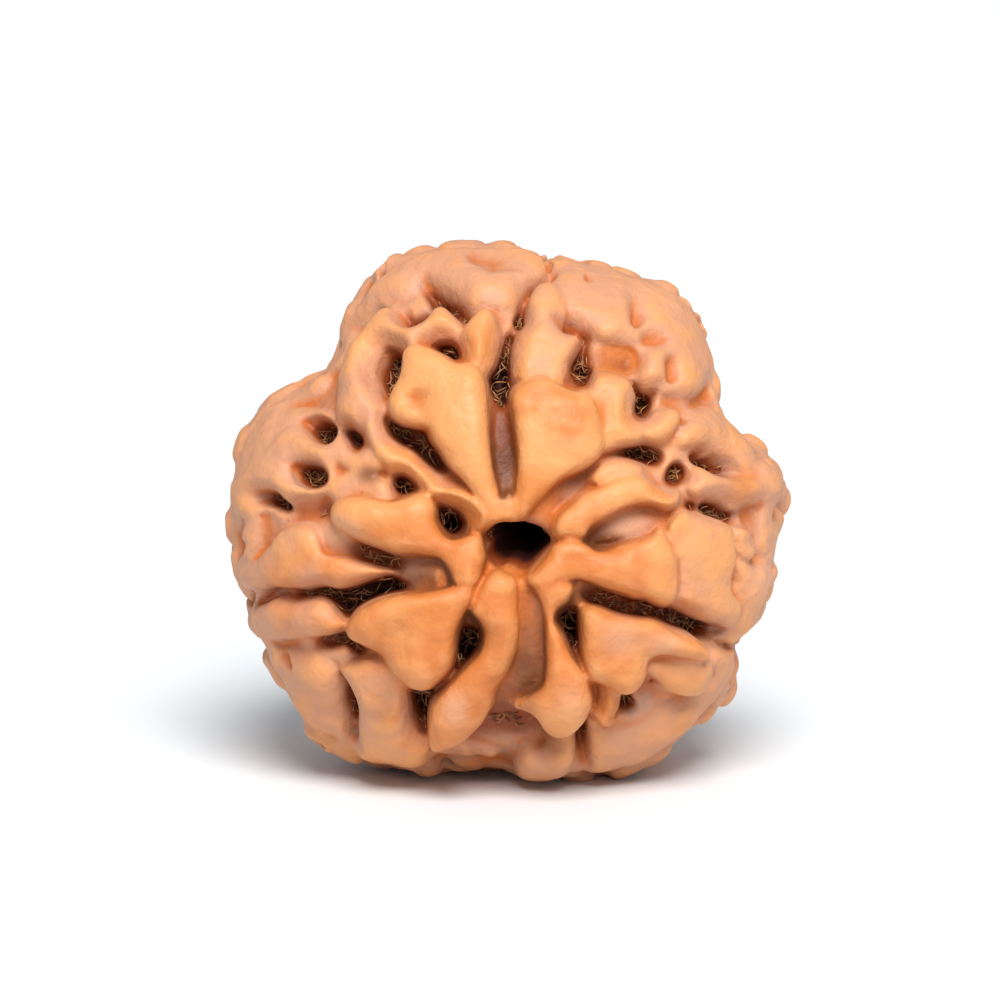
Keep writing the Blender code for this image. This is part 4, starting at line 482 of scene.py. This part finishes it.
def waves(places, length, seed):
    """Gentle unevenness: a sum of waves of about this length in seeded directions."""
    rng = np.random.default_rng(seed)
    total = np.zeros(len(places))
    for _ in range(14):
        direction = rng.normal(size=3)
        direction *= 2 * math.pi / (length * rng.uniform(0.8, 1.3) * np.linalg.norm(direction))
        total += np.cos(places @ direction + rng.uniform(0, 2 * math.pi))
    return total / 14 ** 0.5


def side_ridges():
    """A net of short ridges round the side, where the ends' drawings run out, on seeded knots."""
    rng = np.random.default_rng(7)
    columns, levels = 30, (-3.3, -1.2, 1.0, 3.2)
    knots = {}
    for column in range(columns):
        for row, level in enumerate(levels):
            angle = 2 * math.pi * (column + 0.5 * (row % 2) + rng.uniform(-0.25, 0.25)) / columns
            y = level + rng.uniform(-0.5, 0.5)
            size = (rng.uniform(0.55, 0.9), rng.uniform(-0.25, 0.05))
            knots[column, row] = np.append(on_skin(angle, y), size)
    for (column, row), knot in knots.items():
        for step, climb, chance in ((1, 0, 0.45), (0, 1, 0.75), (1, 1, 0.35)):
            other = knots.get(((column + step) % columns, row + climb))
            if other is not None and rng.random() < chance:
                yield np.array([knot, other])


def side_pits():
    """Round and oval pits between those ridges."""
    rng = np.random.default_rng(11)
    for column in range(24):
        for level in (-0.9, 1.1):
            angle = 2 * math.pi * (column + rng.uniform(-0.35, 0.35)) / 24
            y = level + rng.uniform(-0.5, 0.5)
            turn, length = rng.uniform(-0.06, 0.06), rng.uniform(-0.7, 0.7)
            size = (rng.uniform(0.22, 0.42), rng.uniform(1.1, 2.2))
            if rng.random() < 0.75:
                ends = on_skin(angle, y), on_skin(angle + turn, y + length)
                yield np.array([np.append(end, size) for end in ends])


def side_clefts(half_width, depth, shift):
    """Lines over the crest of each lobe from end to end, where its cleft runs, or beside it."""
    for lobe in LOBES:
        y = np.linspace(-4.2, 4.2, 9)
        angle = np.radians(lobe + 2.0 * np.sin(1.3 * y + lobe)) + shift / 11.0
        points = on_skin(angle, y)
        yield np.column_stack([points, np.full(9, half_width), np.full(9, depth)])


def heights(places):
    """How far the seed's surface stands above its skin at each place, in millimetres: first the side all
    round, then each end's drawing over it, then a fine unevenness that is rougher down in the pits."""
    everywhere = np.ones(len(places))
    height = -0.4 + 0.05 * waves(places, 1.8, 3)
    raise_ridges(height, places, everywhere, side_ridges(), 1.6, 0.6)
    for shift in (-0.95, 0.95):
        raise_ridges(height, places, everywhere, side_clefts(0.6, 0.0, shift), 2.5, 0.4)
    sink_creases(height, places, everywhere, side_clefts(0.2, 1.8, 0.0), 6.0, 0.22)
    sink_creases(height, places, everywhere, side_pits(), 6.0, 0.22)
    height += 0.05 * waves(places, 3.0, 5)
    for end in (-1, 1):
        there = np.flatnonzero(end * places[:, 1] > 0.8)
        drawn, present = in_drawing(places[there], end)
        rise = height[there] - 0.3 * present * np.clip((8.5 - np.hypot(*drawn.T)) / 2, 0, 1)
        raise_shapes(rise, drawn, present, FOLDS, 0.9, 0.35, 1.2, 0.6)
        raise_ridges(rise, drawn, present, RIDGES, 2.5, 0.5)
        raise_shapes(rise, drawn, present, BLOCKS, 0.55, 0.25, 4.0, 0.3)
        add_swells(rise, drawn, present, SWELLS)
        sink_shapes(rise, drawn, present, PITS, 4.0, 0.35)
        add_swells(rise, drawn, present, CREASES)
        raise_shapes(rise, drawn, present, PETALS, 0.5, 0.3, 8.0, 0.15)
        add_swells(rise, drawn, present, DENTS)
        height[there] = rise
    rough = np.clip((-height - 0.9) / 0.4, 0, 1)
    return height + 0.018 * waves(places, 0.9, 6) + 0.11 * rough * waves(places, 0.45, 8)


def surface(columns, rows, tunnel_rows):
    """Closed grid of points: over the skin from the near mouth to the far one, back through the tunnel."""
    angle = np.linspace(0, 2 * math.pi, columns, endpoint=False)
    mouth = by_direction(MOUTH, angle, 12.0)
    start = np.arcsin((mouth / skin_radius(angle, HALF_LENGTH)) ** (SKIN_POWER / 2))
    turn = start + (np.pi - 2 * start) * np.linspace(0, 1, rows)[:, None]
    y = -HALF_LENGTH * np.sign(np.cos(turn)) * np.abs(np.cos(turn)) ** (2 / SKIN_POWER)
    skin = on_skin(angle + 0 * turn, y)
    around = np.roll(skin, -1, axis=1) - np.roll(skin, 1, axis=1)
    normal = np.cross(np.gradient(skin, axis=0), around)
    normal /= np.linalg.norm(normal, axis=2, keepdims=True)
    # Near the ends everything rises along the tunnel, so that it stays where it is drawn.
    radius = np.hypot(skin[..., 0], skin[..., 2])
    blend = np.clip((radius / skin_radius(angle, y) - 0.55) / 0.4, 0, 1)[..., None]
    blend = blend * blend * (3 - 2 * blend)
    straight = np.zeros_like(skin)
    straight[..., 1] = np.sign(y)
    push = normal * blend + straight * (1 - blend)
    push /= np.linalg.norm(push, axis=2, keepdims=True)
    height = heights(skin.reshape(-1, 3)).reshape(y.shape)
    # The edge of each mouth is rounded off.
    lip = np.clip(0.4 - (radius - mouth), 0, 0.4)
    height -= 0.4 - np.sqrt(0.4 ** 2 - lip ** 2)
    outside = skin + push * height[..., None]
    # The tunnel narrows on its way, and bends to the right and upwards.
    share = np.linspace(0, 1, tunnel_rows + 2)[1:-1, None, None]
    tunnel = outside[-1] * (1 - share) + outside[0] * share
    bow = np.sin(np.pi * share) ** 0.8
    tunnel = tunnel * (1 - bow * [0.45, 0, 0.45]) + bow * [0.9, 0, 1.5]
    points = np.concatenate([outside, tunnel]).reshape(-1, 3)
    row, column = np.meshgrid(np.arange(rows + tunnel_rows), np.arange(columns), indexing="ij")
    here, there = row * columns, (row + 1) % (rows + tunnel_rows) * columns
    right = (column + 1) % columns
    faces = np.stack([here + column, here + right, there + right, there + column], axis=-1).reshape(-1, 4)
    return points, faces


def set_down(points):
    """The drawing's axes turned to lie on the table, near end raised."""
    x, y, z = points.T
    return np.column_stack([
        x,
        y * math.cos(TIP) + z * math.sin(TIP),
        z * math.cos(TIP) - y * math.sin(TIP) + AXIS_HEIGHT,
    ])


def evaluated_mesh(obj, name):
    """The object's mesh with its modifiers applied."""
    bpy.context.view_layer.update()
    graph = bpy.context.evaluated_depsgraph_get()
    mesh = bpy.data.meshes.new_from_object(obj.evaluated_get(graph))
    mesh.name = name
    return mesh


def without_scraps(mesh):
    """The mesh with its largest connected part alone."""
    work = bmesh.new()
    work.from_mesh(mesh)
    unseen, parts = set(work.verts), []
    while unseen:
        front = [unseen.pop()]
        parts.append(list(front))
        while front:
            corner = front.pop()
            found = {edge.other_vert(corner) for edge in corner.link_edges} & unseen
            unseen -= found
            front.extend(found)
            parts[-1].extend(found)
    scraps = [corner for part in sorted(parts, key=len)[:-1] for corner in part]
    bmesh.ops.delete(work, geom=scraps, context="VERTS")
    work.to_mesh(mesh)
    work.free()
    return mesh


def seed_mesh(name, columns, rows, tunnel_rows, voxel, triangles):
    """The seed as one closed mesh: evened out, a little worn, thinned and cut flat to rest on."""
    points, faces = surface(columns, rows, tunnel_rows)
    mesh = bpy.data.meshes.new(name)
    mesh.from_pydata(set_down(points).tolist(), [], faces.tolist())
    worked = bpy.data.objects.new(name + "_worked", mesh)
    bpy.context.scene.collection.objects.link(worked)
    even = worked.modifiers.new("even", "REMESH")
    even.mode = "VOXEL"
    even.voxel_size = voxel
    even.adaptivity = 0
    worn = worked.modifiers.new("worn", "SMOOTH")
    worn.factor = 0.5
    worn.iterations = round(0.3 / voxel)
    worked.data = evaluated_mesh(worked, name)
    worked.modifiers.clear()
    thin = worked.modifiers.new("thin", "DECIMATE")
    thin.ratio = triangles / sum(len(face.vertices) - 2 for face in worked.data.polygons)
    bpy.ops.mesh.primitive_cube_add(size=60, location=(0, 0, -30))
    table = bpy.context.object
    flat = worked.modifiers.new("flat", "BOOLEAN")
    flat.object = table
    finished = without_scraps(evaluated_mesh(worked, name))
    bpy.data.objects.remove(table)
    bpy.data.objects.remove(worked)
    return finished


# Fineness of the seen mesh: points round the seed, from end to end and through the tunnel, then the grain
# it is evened out to, in millimetres, and how many triangles it keeps.
COLUMNS, ROWS, TUNNEL_ROWS = 1300, 540, 90
VOXEL, TRIANGLES = 0.1, 195000
seed_surface = seed_mesh("seed_surface", COLUMNS, ROWS, TUNNEL_ROWS, VOXEL, TRIANGLES)
corners = np.empty(len(seed_surface.vertices) * 3, np.float32)
seed_surface.vertices.foreach_get("co", corners)
corners = corners.reshape(-1, 3).astype(float)
middle = (corners.min(axis=0) + corners.max(axis=0)) / 2


def above_skin(points):
    """Height of points of the lying seed over its smooth skin, in millimetres: negative down in the pits."""
    x, across, up = points[:, 0], points[:, 1], points[:, 2] - AXIS_HEIGHT
    y = across * math.cos(TIP) - up * math.sin(TIP)
    z = across * math.sin(TIP) + up * math.cos(TIP)
    radius = np.hypot(x, z) / skin_radius(np.arctan2(z, x), y)
    size = (radius ** SKIN_POWER + np.abs(y / HALF_LENGTH) ** SKIN_POWER) ** (1 / SKIN_POWER)
    return (1 - 1 / size) * np.linalg.norm(points - [0, 0, AXIS_HEIGHT], axis=1)


def softened(points, edges, rounds):
    """The points, each drawn towards its neighbours over and over."""
    first, second = edges.T
    neighbours = np.bincount(edges.ravel(), minlength=len(points))[:, None]
    for _ in range(rounds):
        total = [
            np.bincount(first, axis[second], len(points)) + np.bincount(second, axis[first], len(points))
            for axis in points.T
        ]
        points = (points + np.stack(total, axis=1) / neighbours) / 2
    return points


def mark(name, values):
    """Gives every vertex of the seed a number that its finish can read."""
    seed_surface.attributes.new(name, "FLOAT", "POINT").data.foreach_set("value", values.astype(np.float32))


edges = np.empty(len(seed_surface.edges) * 2, np.int32)
seed_surface.edges.foreach_get("vertices", edges)
edges = edges.reshape(-1, 2)
normals = np.empty(len(seed_surface.vertices) * 3, np.float32)
seed_surface.vertex_normals.foreach_get("vector", normals)
normals = normals.reshape(-1, 3)
# What the finish reads: height over the skin, distance from the tunnel and towards the upper right, where
# the light is painted lighter, and how far each place stands out of its close, nearer and broader
# surroundings.
close = softened(corners, edges, 6)
near = softened(close, edges, 54)
broad = softened(near, edges, 300)
above = above_skin(corners)
mark("height", above)
mark("reach", np.hypot(corners[:, 0], corners[:, 2] - AXIS_HEIGHT))
mark("painted_light_side", corners[:, 0] + corners[:, 2] - AXIS_HEIGHT)
mark("edge", ((corners - close) * normals).sum(axis=1))
mark("relief", ((corners - near) * normals).sum(axis=1))
mark("basin", ((near - broad) * normals).sum(axis=1))
upright = corners[:, 1] * math.sin(TIP) + (corners[:, 2] - AXIS_HEIGHT) * math.cos(TIP)
near_end = corners[:, 1] * math.cos(TIP) < (corners[:, 2] - AXIS_HEIGHT) * math.sin(TIP)


def spots(places):
    """Strength of oval soft-edged spots on the near end: each x and z, half width, half height, strength."""
    return near_end * sum(
        most * np.exp(-((corners[:, 0] - x) / wide) ** 2 - ((upright - z) / high) ** 2)
        for x, z, wide, high, most in places
    )


# Painted shade: brown darkening in the two upright furrows and a few hollows.
mark("hollow_shade", spots((
    (-0.6, 4.3, 0.55, 1.5, 1.0), (-0.6, 2.9, 0.4, 0.8, 0.5), (0.4, -5.2, 0.8, 1.5, 0.9),
    (-6.0, 2.9, 0.6, 0.5, 0.8), (1.5, -8.3, 1.0, 0.7, 0.6), (-5.5, -6.5, 0.9, 1.3, 0.45),
    (-1.0, -3.4, 0.6, 1.0, 0.4),
)))
# Places where the shell is a stronger orange; the strongest spot, in the hollow under the broad lobe's lip,
# is painted shade.
mark("amber", spots((
    (4.0, 7.5, 1.1, 0.7, 1.0), (-1.5, 8.3, 0.8, 1.2, 0.7), (0.8, 2.5, 0.9, 1.0, 0.8),
    (-1.3, 2.7, 0.7, 0.9, 0.5), (3.8, -6.6, 0.6, 0.9, 1.0), (9.3, 2.4, 0.9, 1.2, 0.7),
    (-3.8, -2.9, 1.1, 0.6, 0.6), (1.3, -8.0, 1.2, 0.9, 0.5), (-4.6, 1.0, 1.6, 0.8, 0.5),
    (-7.5, -3.2, 1.5, 0.6, 0.5),
)))
# Places that a dry pale film has dulled.
mark("pale", spots((
    (4.1, -3.7, 0.9, 1.1, 0.8), (6.0, -3.9, 0.9, 0.6, 0.8), (2.1, -6.3, 0.9, 1.0, 0.6),
    (-2.5, -6.6, 0.7, 1.0, 0.8), (4.5, 0.9, 1.1, 0.6, 1.0), (-7.4, 0.6, 1.1, 0.7, 1.0),
    (-4.3, -0.9, 0.8, 0.4, 0.6), (10.2, -1.6, 1.0, 1.6, 0.8), (0.9, -2.6, 0.6, 0.8, 0.4),
    (2.2, 2.2, 0.8, 0.5, 0.5), (6.0, 10.0, 1.6, 1.2, 0.5), (-6.6, 4.4, 1.1, 0.9, 0.4),
)))

METRES = 0.001  # in a millimetre
corners = (corners - [middle[0], middle[1], 0]) * METRES
seed_surface.vertices.foreach_set("co", corners.astype(np.float32).ravel())
seed_surface.update()
seed_surface.shade_smooth()
seed = bpy.data.objects.new("seed", seed_surface)
bpy.context.scene.collection.objects.link(seed)


class Level:
    """A number that varies over the surface: arithmetic on it adds the Math nodes that work it out."""

    def __init__(self, finish, socket):
        self.finish, self.socket = finish, socket

    def maths(self, operation, *terms):
        terms = [term.socket if isinstance(term, Level) else term for term in terms]
        sockets = dict(enumerate(terms))
        made = self.finish.node("ShaderNodeMath", {"operation": operation}, sockets)
        return Level(self.finish, made.outputs[0])

    def __add__(self, other):
        return self.maths("ADD", self, other)

    def __sub__(self, other):
        return self.maths("SUBTRACT", self, other)

    def __rsub__(self, other):
        return self.maths("SUBTRACT", other, self)

    def __mul__(self, other):
        return self.maths("MULTIPLY", self, other)

    __radd__, __rmul__ = __add__, __mul__


class Finish:
    """The finish of one piece: a Principled material and the nodes that vary it."""

    def __init__(self, name):
        self.material = bpy.data.materials.new(name)
        self.material.use_nodes = True
        self.shader = self.material.node_tree.nodes["Principled BSDF"]

    def node(self, kind, settings, sockets):
        """A node with its settings made first, then the values or links of its sockets."""
        made = self.material.node_tree.nodes.new(kind)
        for setting, value in settings.items():
            setattr(made, setting, value)
        for socket, value in sockets.items():
            if isinstance(value, Level):
                value = value.socket
            if isinstance(value, bpy.types.NodeSocket):
                self.material.node_tree.links.new(value, made.inputs[socket])
            else:
                made.inputs[socket].default_value = value
        return made

    def marked(self, name):
        made = self.node("ShaderNodeAttribute", {"attribute_type": "GEOMETRY", "attribute_name": name}, {})
        return Level(self, made.outputs["Fac"])

    def noise(self, size, detail=2.0, roughness=0.5, warp=0.0):
        """Unevenness from 0 to 1 whose lumps are about this many millimetres across."""
        place = self.node("ShaderNodeTexCoord", {}, {}).outputs["Object"]
        sockets = {"Vector": place, "Scale": 1000 / size, "Detail": detail, "Roughness": roughness,
                   "Distortion": warp}
        return Level(self, self.node("ShaderNodeTexNoise", {"normalize": True}, sockets).outputs["Fac"])

    def between(self, level, low, high):
        """0 where the level is at or below low, 1 where it is at or above high, and smooth between."""
        sockets = {"Value": level, "From Min": low, "From Max": high}
        made = self.node("ShaderNodeMapRange", {"interpolation_type": "SMOOTHSTEP"}, sockets)
        return Level(self, made.outputs["Result"])

    def mixed(self, share, first, second):
        """Colour that goes from the first to the second as the share goes from 0 to 1."""
        made = self.node("ShaderNodeMix", {"data_type": "RGBA"}, {0: share, 6: first, 7: second})
        return made.outputs[2]

    def vary(self, socket, value):
        value = value.socket if isinstance(value, Level) else value
        self.material.node_tree.links.new(value, self.shader.inputs[socket])


shell = Finish("seed_shell")
GOLD_AND_HIGHLIGHT = (0.68, 0.285, 0.098, 1)    # dry, bright parts of the shell, and a painted highlight along every rim, partly edge wear
TAN = (0.55, 0.165, 0.038, 1)     # oiled shell between them
MAUVE = (0.52, 0.245, 0.145, 1)   # lower and outer parts
ORANGE_SHADE = (0.49, 0.12, 0.017, 1)   # painted shade: orange in the hollows and on steep flanks
VALLEY_SHADE = (0.12, 0.04, 0.016, 1)     # painted shade on the floors of the valleys
FILM = (0.38, 0.21, 0.14, 1)      # dried pulp in the outer valleys
PALE = (0.64, 0.32, 0.18, 1)      # the three kinds of spots
AMBER = (0.57, 0.18, 0.035, 1)
BROWN_SHADE = (0.125, 0.034, 0.009, 1)
RUSSET_SHADE = (0.24, 0.045, 0.008, 1)  # painted shade on the walls of the pits
PIT_SHADOW = (0.045, 0.006, 0.0015, 1)  # painted shadow on the floors of the pits and inside the tunnel
height, edge = shell.marked("height"), shell.marked("edge")
relief, basin = shell.marked("relief"), shell.marked("basin")
reach, painted_light_side = shell.marked("reach"), shell.marked("painted_light_side")
blotches, mottle, specks = shell.noise(3.5, 3.0), shell.noise(1.1), shell.noise(0.3, 3.0, 0.6, 0.8)
clouds, patches = shell.noise(2.2, 3.0), shell.noise(1.6, 4.0, 0.55, 0.5)
# Painted light: the gold grows towards the upper right, the lit side, as well as in random blotches and away
# from the tunnel.
golden = shell.between(blotches + (reach - 6.0) * 0.045 + painted_light_side * 0.006, 0.38, 0.66)
colour = shell.mixed(golden, TAN, GOLD_AND_HIGHLIGHT)
outer = shell.between(height * -1 + (clouds - 0.5) * 3.4 + (reach - 6.6) * 0.12, -0.6, 0.5)
colour = shell.mixed(outer * 0.8, colour, MAUVE)
# Painted shade: flanks and hollows that sink below their near surroundings turn a darker, redder orange.
flank_shade = shell.between(relief * -1 + (mottle - 0.5) * 0.12, -0.04, 0.18)
colour = shell.mixed(flank_shade * 0.9, colour, ORANGE_SHADE)
# Painted shade: valley floors that lie below their broader surroundings go dark brown, less so away from the
# tunnel.
valley_shade = shell.between(basin * -1 + (mottle - 0.5) * 0.15 - (reach - 5.0) * 0.045, -0.08, 0.4)
colour = shell.mixed(valley_shade * 0.85, colour, VALLEY_SHADE)
film = shell.between(patches, 0.5, 0.6) * shell.between(basin * -1, -0.1, 0.15)
film = film * shell.between(reach, 5.0, 7.5)
colour = shell.mixed(film * 0.8, colour, FILM)
# Painted highlight: a lighter gold along the sharp convex rims, partly edge wear.
rim = shell.between(edge, 0.012, 0.045)
colour = shell.mixed(rim * 0.5, colour, GOLD_AND_HIGHLIGHT)
# Each kind of spot in turn: the pale film, the stronger orange, and the brown painted shade.
for name, most, stain_and_shade in (("pale", 0.65, PALE), ("amber", 0.8, AMBER), ("hollow_shade", 0.85, BROWN_SHADE)):
    stained_and_shaded = shell.between(shell.marked(name) + (mottle - 0.5) * 0.3, 0.1, 0.9)
    colour = shell.mixed(stained_and_shaded * most, colour, stain_and_shade)
# Painted shade: russet on the pit walls, then near black on the pit floors and inside the tunnel, darker the
# deeper below the skin.
sunk_shade = shell.between(height * -1 + (mottle - 0.5) * 0.3, 0.5, 1.0)
colour = shell.mixed(sunk_shade, colour, RUSSET_SHADE)
deep = shell.between(height * -1 + (specks - 0.5) * 0.6, 1.0, 1.7)
colour = shell.mixed(deep, colour, PIT_SHADOW)
shell.vary("Base Color", colour)
shell.vary("Roughness", 0.42 + 0.2 * mottle + 0.25 * deep)
grain = shell.noise(0.12, 4.0, 0.6)
fine = shell.node("ShaderNodeBump", {}, {"Strength": 0.25, "Distance": 0.00004, "Height": grain})
lumps = shell.node("ShaderNodeBump", {}, {
    "Strength": 0.7, "Distance": 0.0002, "Height": shell.noise(0.7, 3.0), "Normal": fine.outputs["Normal"]})
shell.vary("Normal", lumps.outputs["Normal"])
shell.shader.inputs["Specular IOR Level"].default_value = 0.35
seed_surface.materials.clear()
seed_surface.materials.append(shell.material)
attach(seed, "root")
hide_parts("rudraksha_seed")

# THE FIBRES
# Dried threads of the fruit's flesh that washing has left in the pits: thin, curled and golden brown. Each
# is grown fast to the shell: it springs from the floor or wall of a pit and goes back into it close by.
FIBRES, RINGS, SIDES = 1900, 7, 4     # how many threads, and the rings and sides of each one's tube
ROOMS = 9000                          # places in the pits that a thread may start or end at
SHALLOWEST, DEEPEST = -0.85, -2.0     # where those lie against the skin, in millimetres
OUT_OF_TUNNEL = 0.0019                # how far off the tunnel's middle line they keep
SHORTEST, LONGEST = 0.00025, 0.0009   # from one end of a thread to the other
rng = np.random.default_rng(21)
aside, raised = corners[:, 0] + middle[0] * METRES, corners[:, 2] - AXIS_HEIGHT * METRES
in_pit = (above < SHALLOWEST) & (above > DEEPEST) & ~(np.hypot(aside, raised) < OUT_OF_TUNNEL)
rooms = rng.permutation(np.flatnonzero(in_pit))[:ROOMS]
tree = KDTree(len(rooms))
for number, room in enumerate(rooms):
    tree.insert(corners[room], number)
tree.balance()
ends = []
for start in rooms[:FIBRES]:
    found = tree.find_range(corners[start], LONGEST)
    close_by = [number for _, number, distance in found if distance > SHORTEST]
    if close_by:
        ends.append((start, rooms[close_by[rng.integers(len(close_by))]]))
ends = np.array(ends)
count = len(ends)
first, last = corners[ends[:, 0]], corners[ends[:, 1]]
outwards = normals[ends[:, 0]] + normals[ends[:, 1]]
outwards /= np.linalg.norm(outwards, axis=1, keepdims=True) + 1e-9
sideways = np.cross(outwards, last - first)
sideways /= np.linalg.norm(sideways, axis=1, keepdims=True) + 1e-9
share = np.linspace(0, 1, RINGS)[:, None, None]
lift = rng.uniform(0.03, 0.2, (count, 1)) * np.sin(np.pi * share) - 0.05
bow = rng.normal(0, 0.22, (count, 1)) * np.sin(np.pi * share)
bow = bow + rng.normal(0, 0.08, (count, 1)) * np.sin(2 * np.pi * share)
line = first * (1 - share) + last * share + METRES * (outwards * lift + sideways * bow)
ahead = np.gradient(line, axis=0)
ahead /= np.linalg.norm(ahead, axis=2, keepdims=True) + 1e-9
across = np.cross(ahead, outwards + 0 * ahead)
across /= np.linalg.norm(across, axis=2, keepdims=True) + 1e-9
up = np.cross(across, ahead)
thick = METRES * rng.uniform(0.018, 0.04, (count, 1)) * (0.6 + 0.4 * np.sin(np.pi * share))
turns = np.arange(SIDES) * 2 * np.pi / SIDES
rings = line[:, :, None] + thick[:, :, None] * (
    across[:, :, None] * np.cos(turns)[:, None] + up[:, :, None] * np.sin(turns)[:, None])
points = rings.transpose(1, 0, 2, 3).reshape(-1, 3)
ring, side = np.meshgrid(np.arange(RINGS - 1), np.arange(SIDES), indexing="ij")
beside = (side + 1) % SIDES
tube = np.stack([ring * SIDES + side, ring * SIDES + beside, (ring + 1) * SIDES + beside,
                 (ring + 1) * SIDES + side], axis=-1).reshape(-1, 4)
caps = np.array([np.arange(SIDES)[::-1], (RINGS - 1) * SIDES + np.arange(SIDES)])
faces = np.concatenate([tube, caps])[None] + np.arange(count)[:, None, None] * RINGS * SIDES
threads = bpy.data.meshes.new("pit_fibres")
threads.from_pydata(points.tolist(), [], faces.reshape(-1, 4).tolist())
threads.shade_smooth()
fibres = bpy.data.objects.new("pit_fibres", threads)
bpy.context.scene.collection.objects.link(fibres)
thread = Finish("fibre")
UMBER, STRAW = (0.14, 0.045, 0.012, 1), (0.42, 0.18, 0.06, 1)
thread.vary("Base Color", thread.mixed(thread.between(thread.noise(0.5), 0.4, 0.6), UMBER, STRAW))
thread.shader.inputs["Roughness"].default_value = 0.5
threads.materials.append(thread.material)
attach(fibres, "root")

# THE FLOOR AND THE LIGHT
# A plain pale floor that fills the picture. A wide soft light shines from high in front and slightly from
# the right, a weak one from low at the front right, and even light comes from all round.
bpy.ops.mesh.primitive_plane_add(size=4)
floor = bpy.context.object
floor.name = "floor"
paint = Finish("floor_paint")
CHALK, LIME = (0.77, 0.79, 0.80, 1), (0.79, 0.81, 0.82, 1)
paint.vary("Base Color", paint.mixed(paint.noise(60.0), CHALK, LIME))
paint.shader.inputs["Roughness"].default_value = 0.6
floor.data.materials.append(paint.material)

surroundings = bpy.data.worlds.new("surroundings")
surroundings.use_nodes = True
sky = surroundings.node_tree.nodes["Background"]
sky.inputs["Color"].default_value = (0.88, 0.94, 1.0, 1)
sky.inputs["Strength"].default_value = 0.45
bpy.context.scene.world = surroundings

for name, place, strength, spread in (
    ("lamp_high", (0.14, -1.1, 1.3), 4.1, 30),
    ("lamp_low", (0.6, -1.0, 0.35), 0.2, 45),
):
    lamp = bpy.data.lights.new(name, "SUN")
    lamp.energy, lamp.angle = strength, math.radians(spread)
    shining = bpy.data.objects.new(name, lamp)
    shining.location = place
    shining.rotation_euler = (-Vector(place)).to_track_quat("-Z", "Y").to_euler()
    bpy.context.scene.collection.objects.link(shining)

# THE CAMERA
# A long lens thirty centimetres away, looking along the tunnel from ten degrees above the floor. The
# picture's middle lies a little above the tunnel's and to its left.
AWAY, SEEN_WIDTH, SENSOR = 0.3, 0.04167, 36
LEFT_BY, UP_BY = 0.00071, 0.00188
camera = bpy.data.objects.new("camera", bpy.data.cameras.new("camera"))
camera.data.sensor_width = SENSOR
camera.data.lens = SENSOR * AWAY / SEEN_WIDTH
camera.data.clip_start = 0.01
looking = Vector((0, math.cos(TIP), -math.sin(TIP)))
upwards = Vector((0, math.sin(TIP), math.cos(TIP)))
tunnel_middle = Vector((-middle[0], -middle[1], AXIS_HEIGHT)) * METRES
picture_middle = tunnel_middle - Vector((LEFT_BY, 0, 0)) + upwards * UP_BY
camera.location = picture_middle - looking * AWAY
camera.rotation_euler = looking.to_track_quat("-Z", "Y").to_euler()
bpy.context.scene.collection.objects.link(camera)
bpy.context.scene.camera = camera
bpy.context.scene.view_settings.view_transform = "Standard"
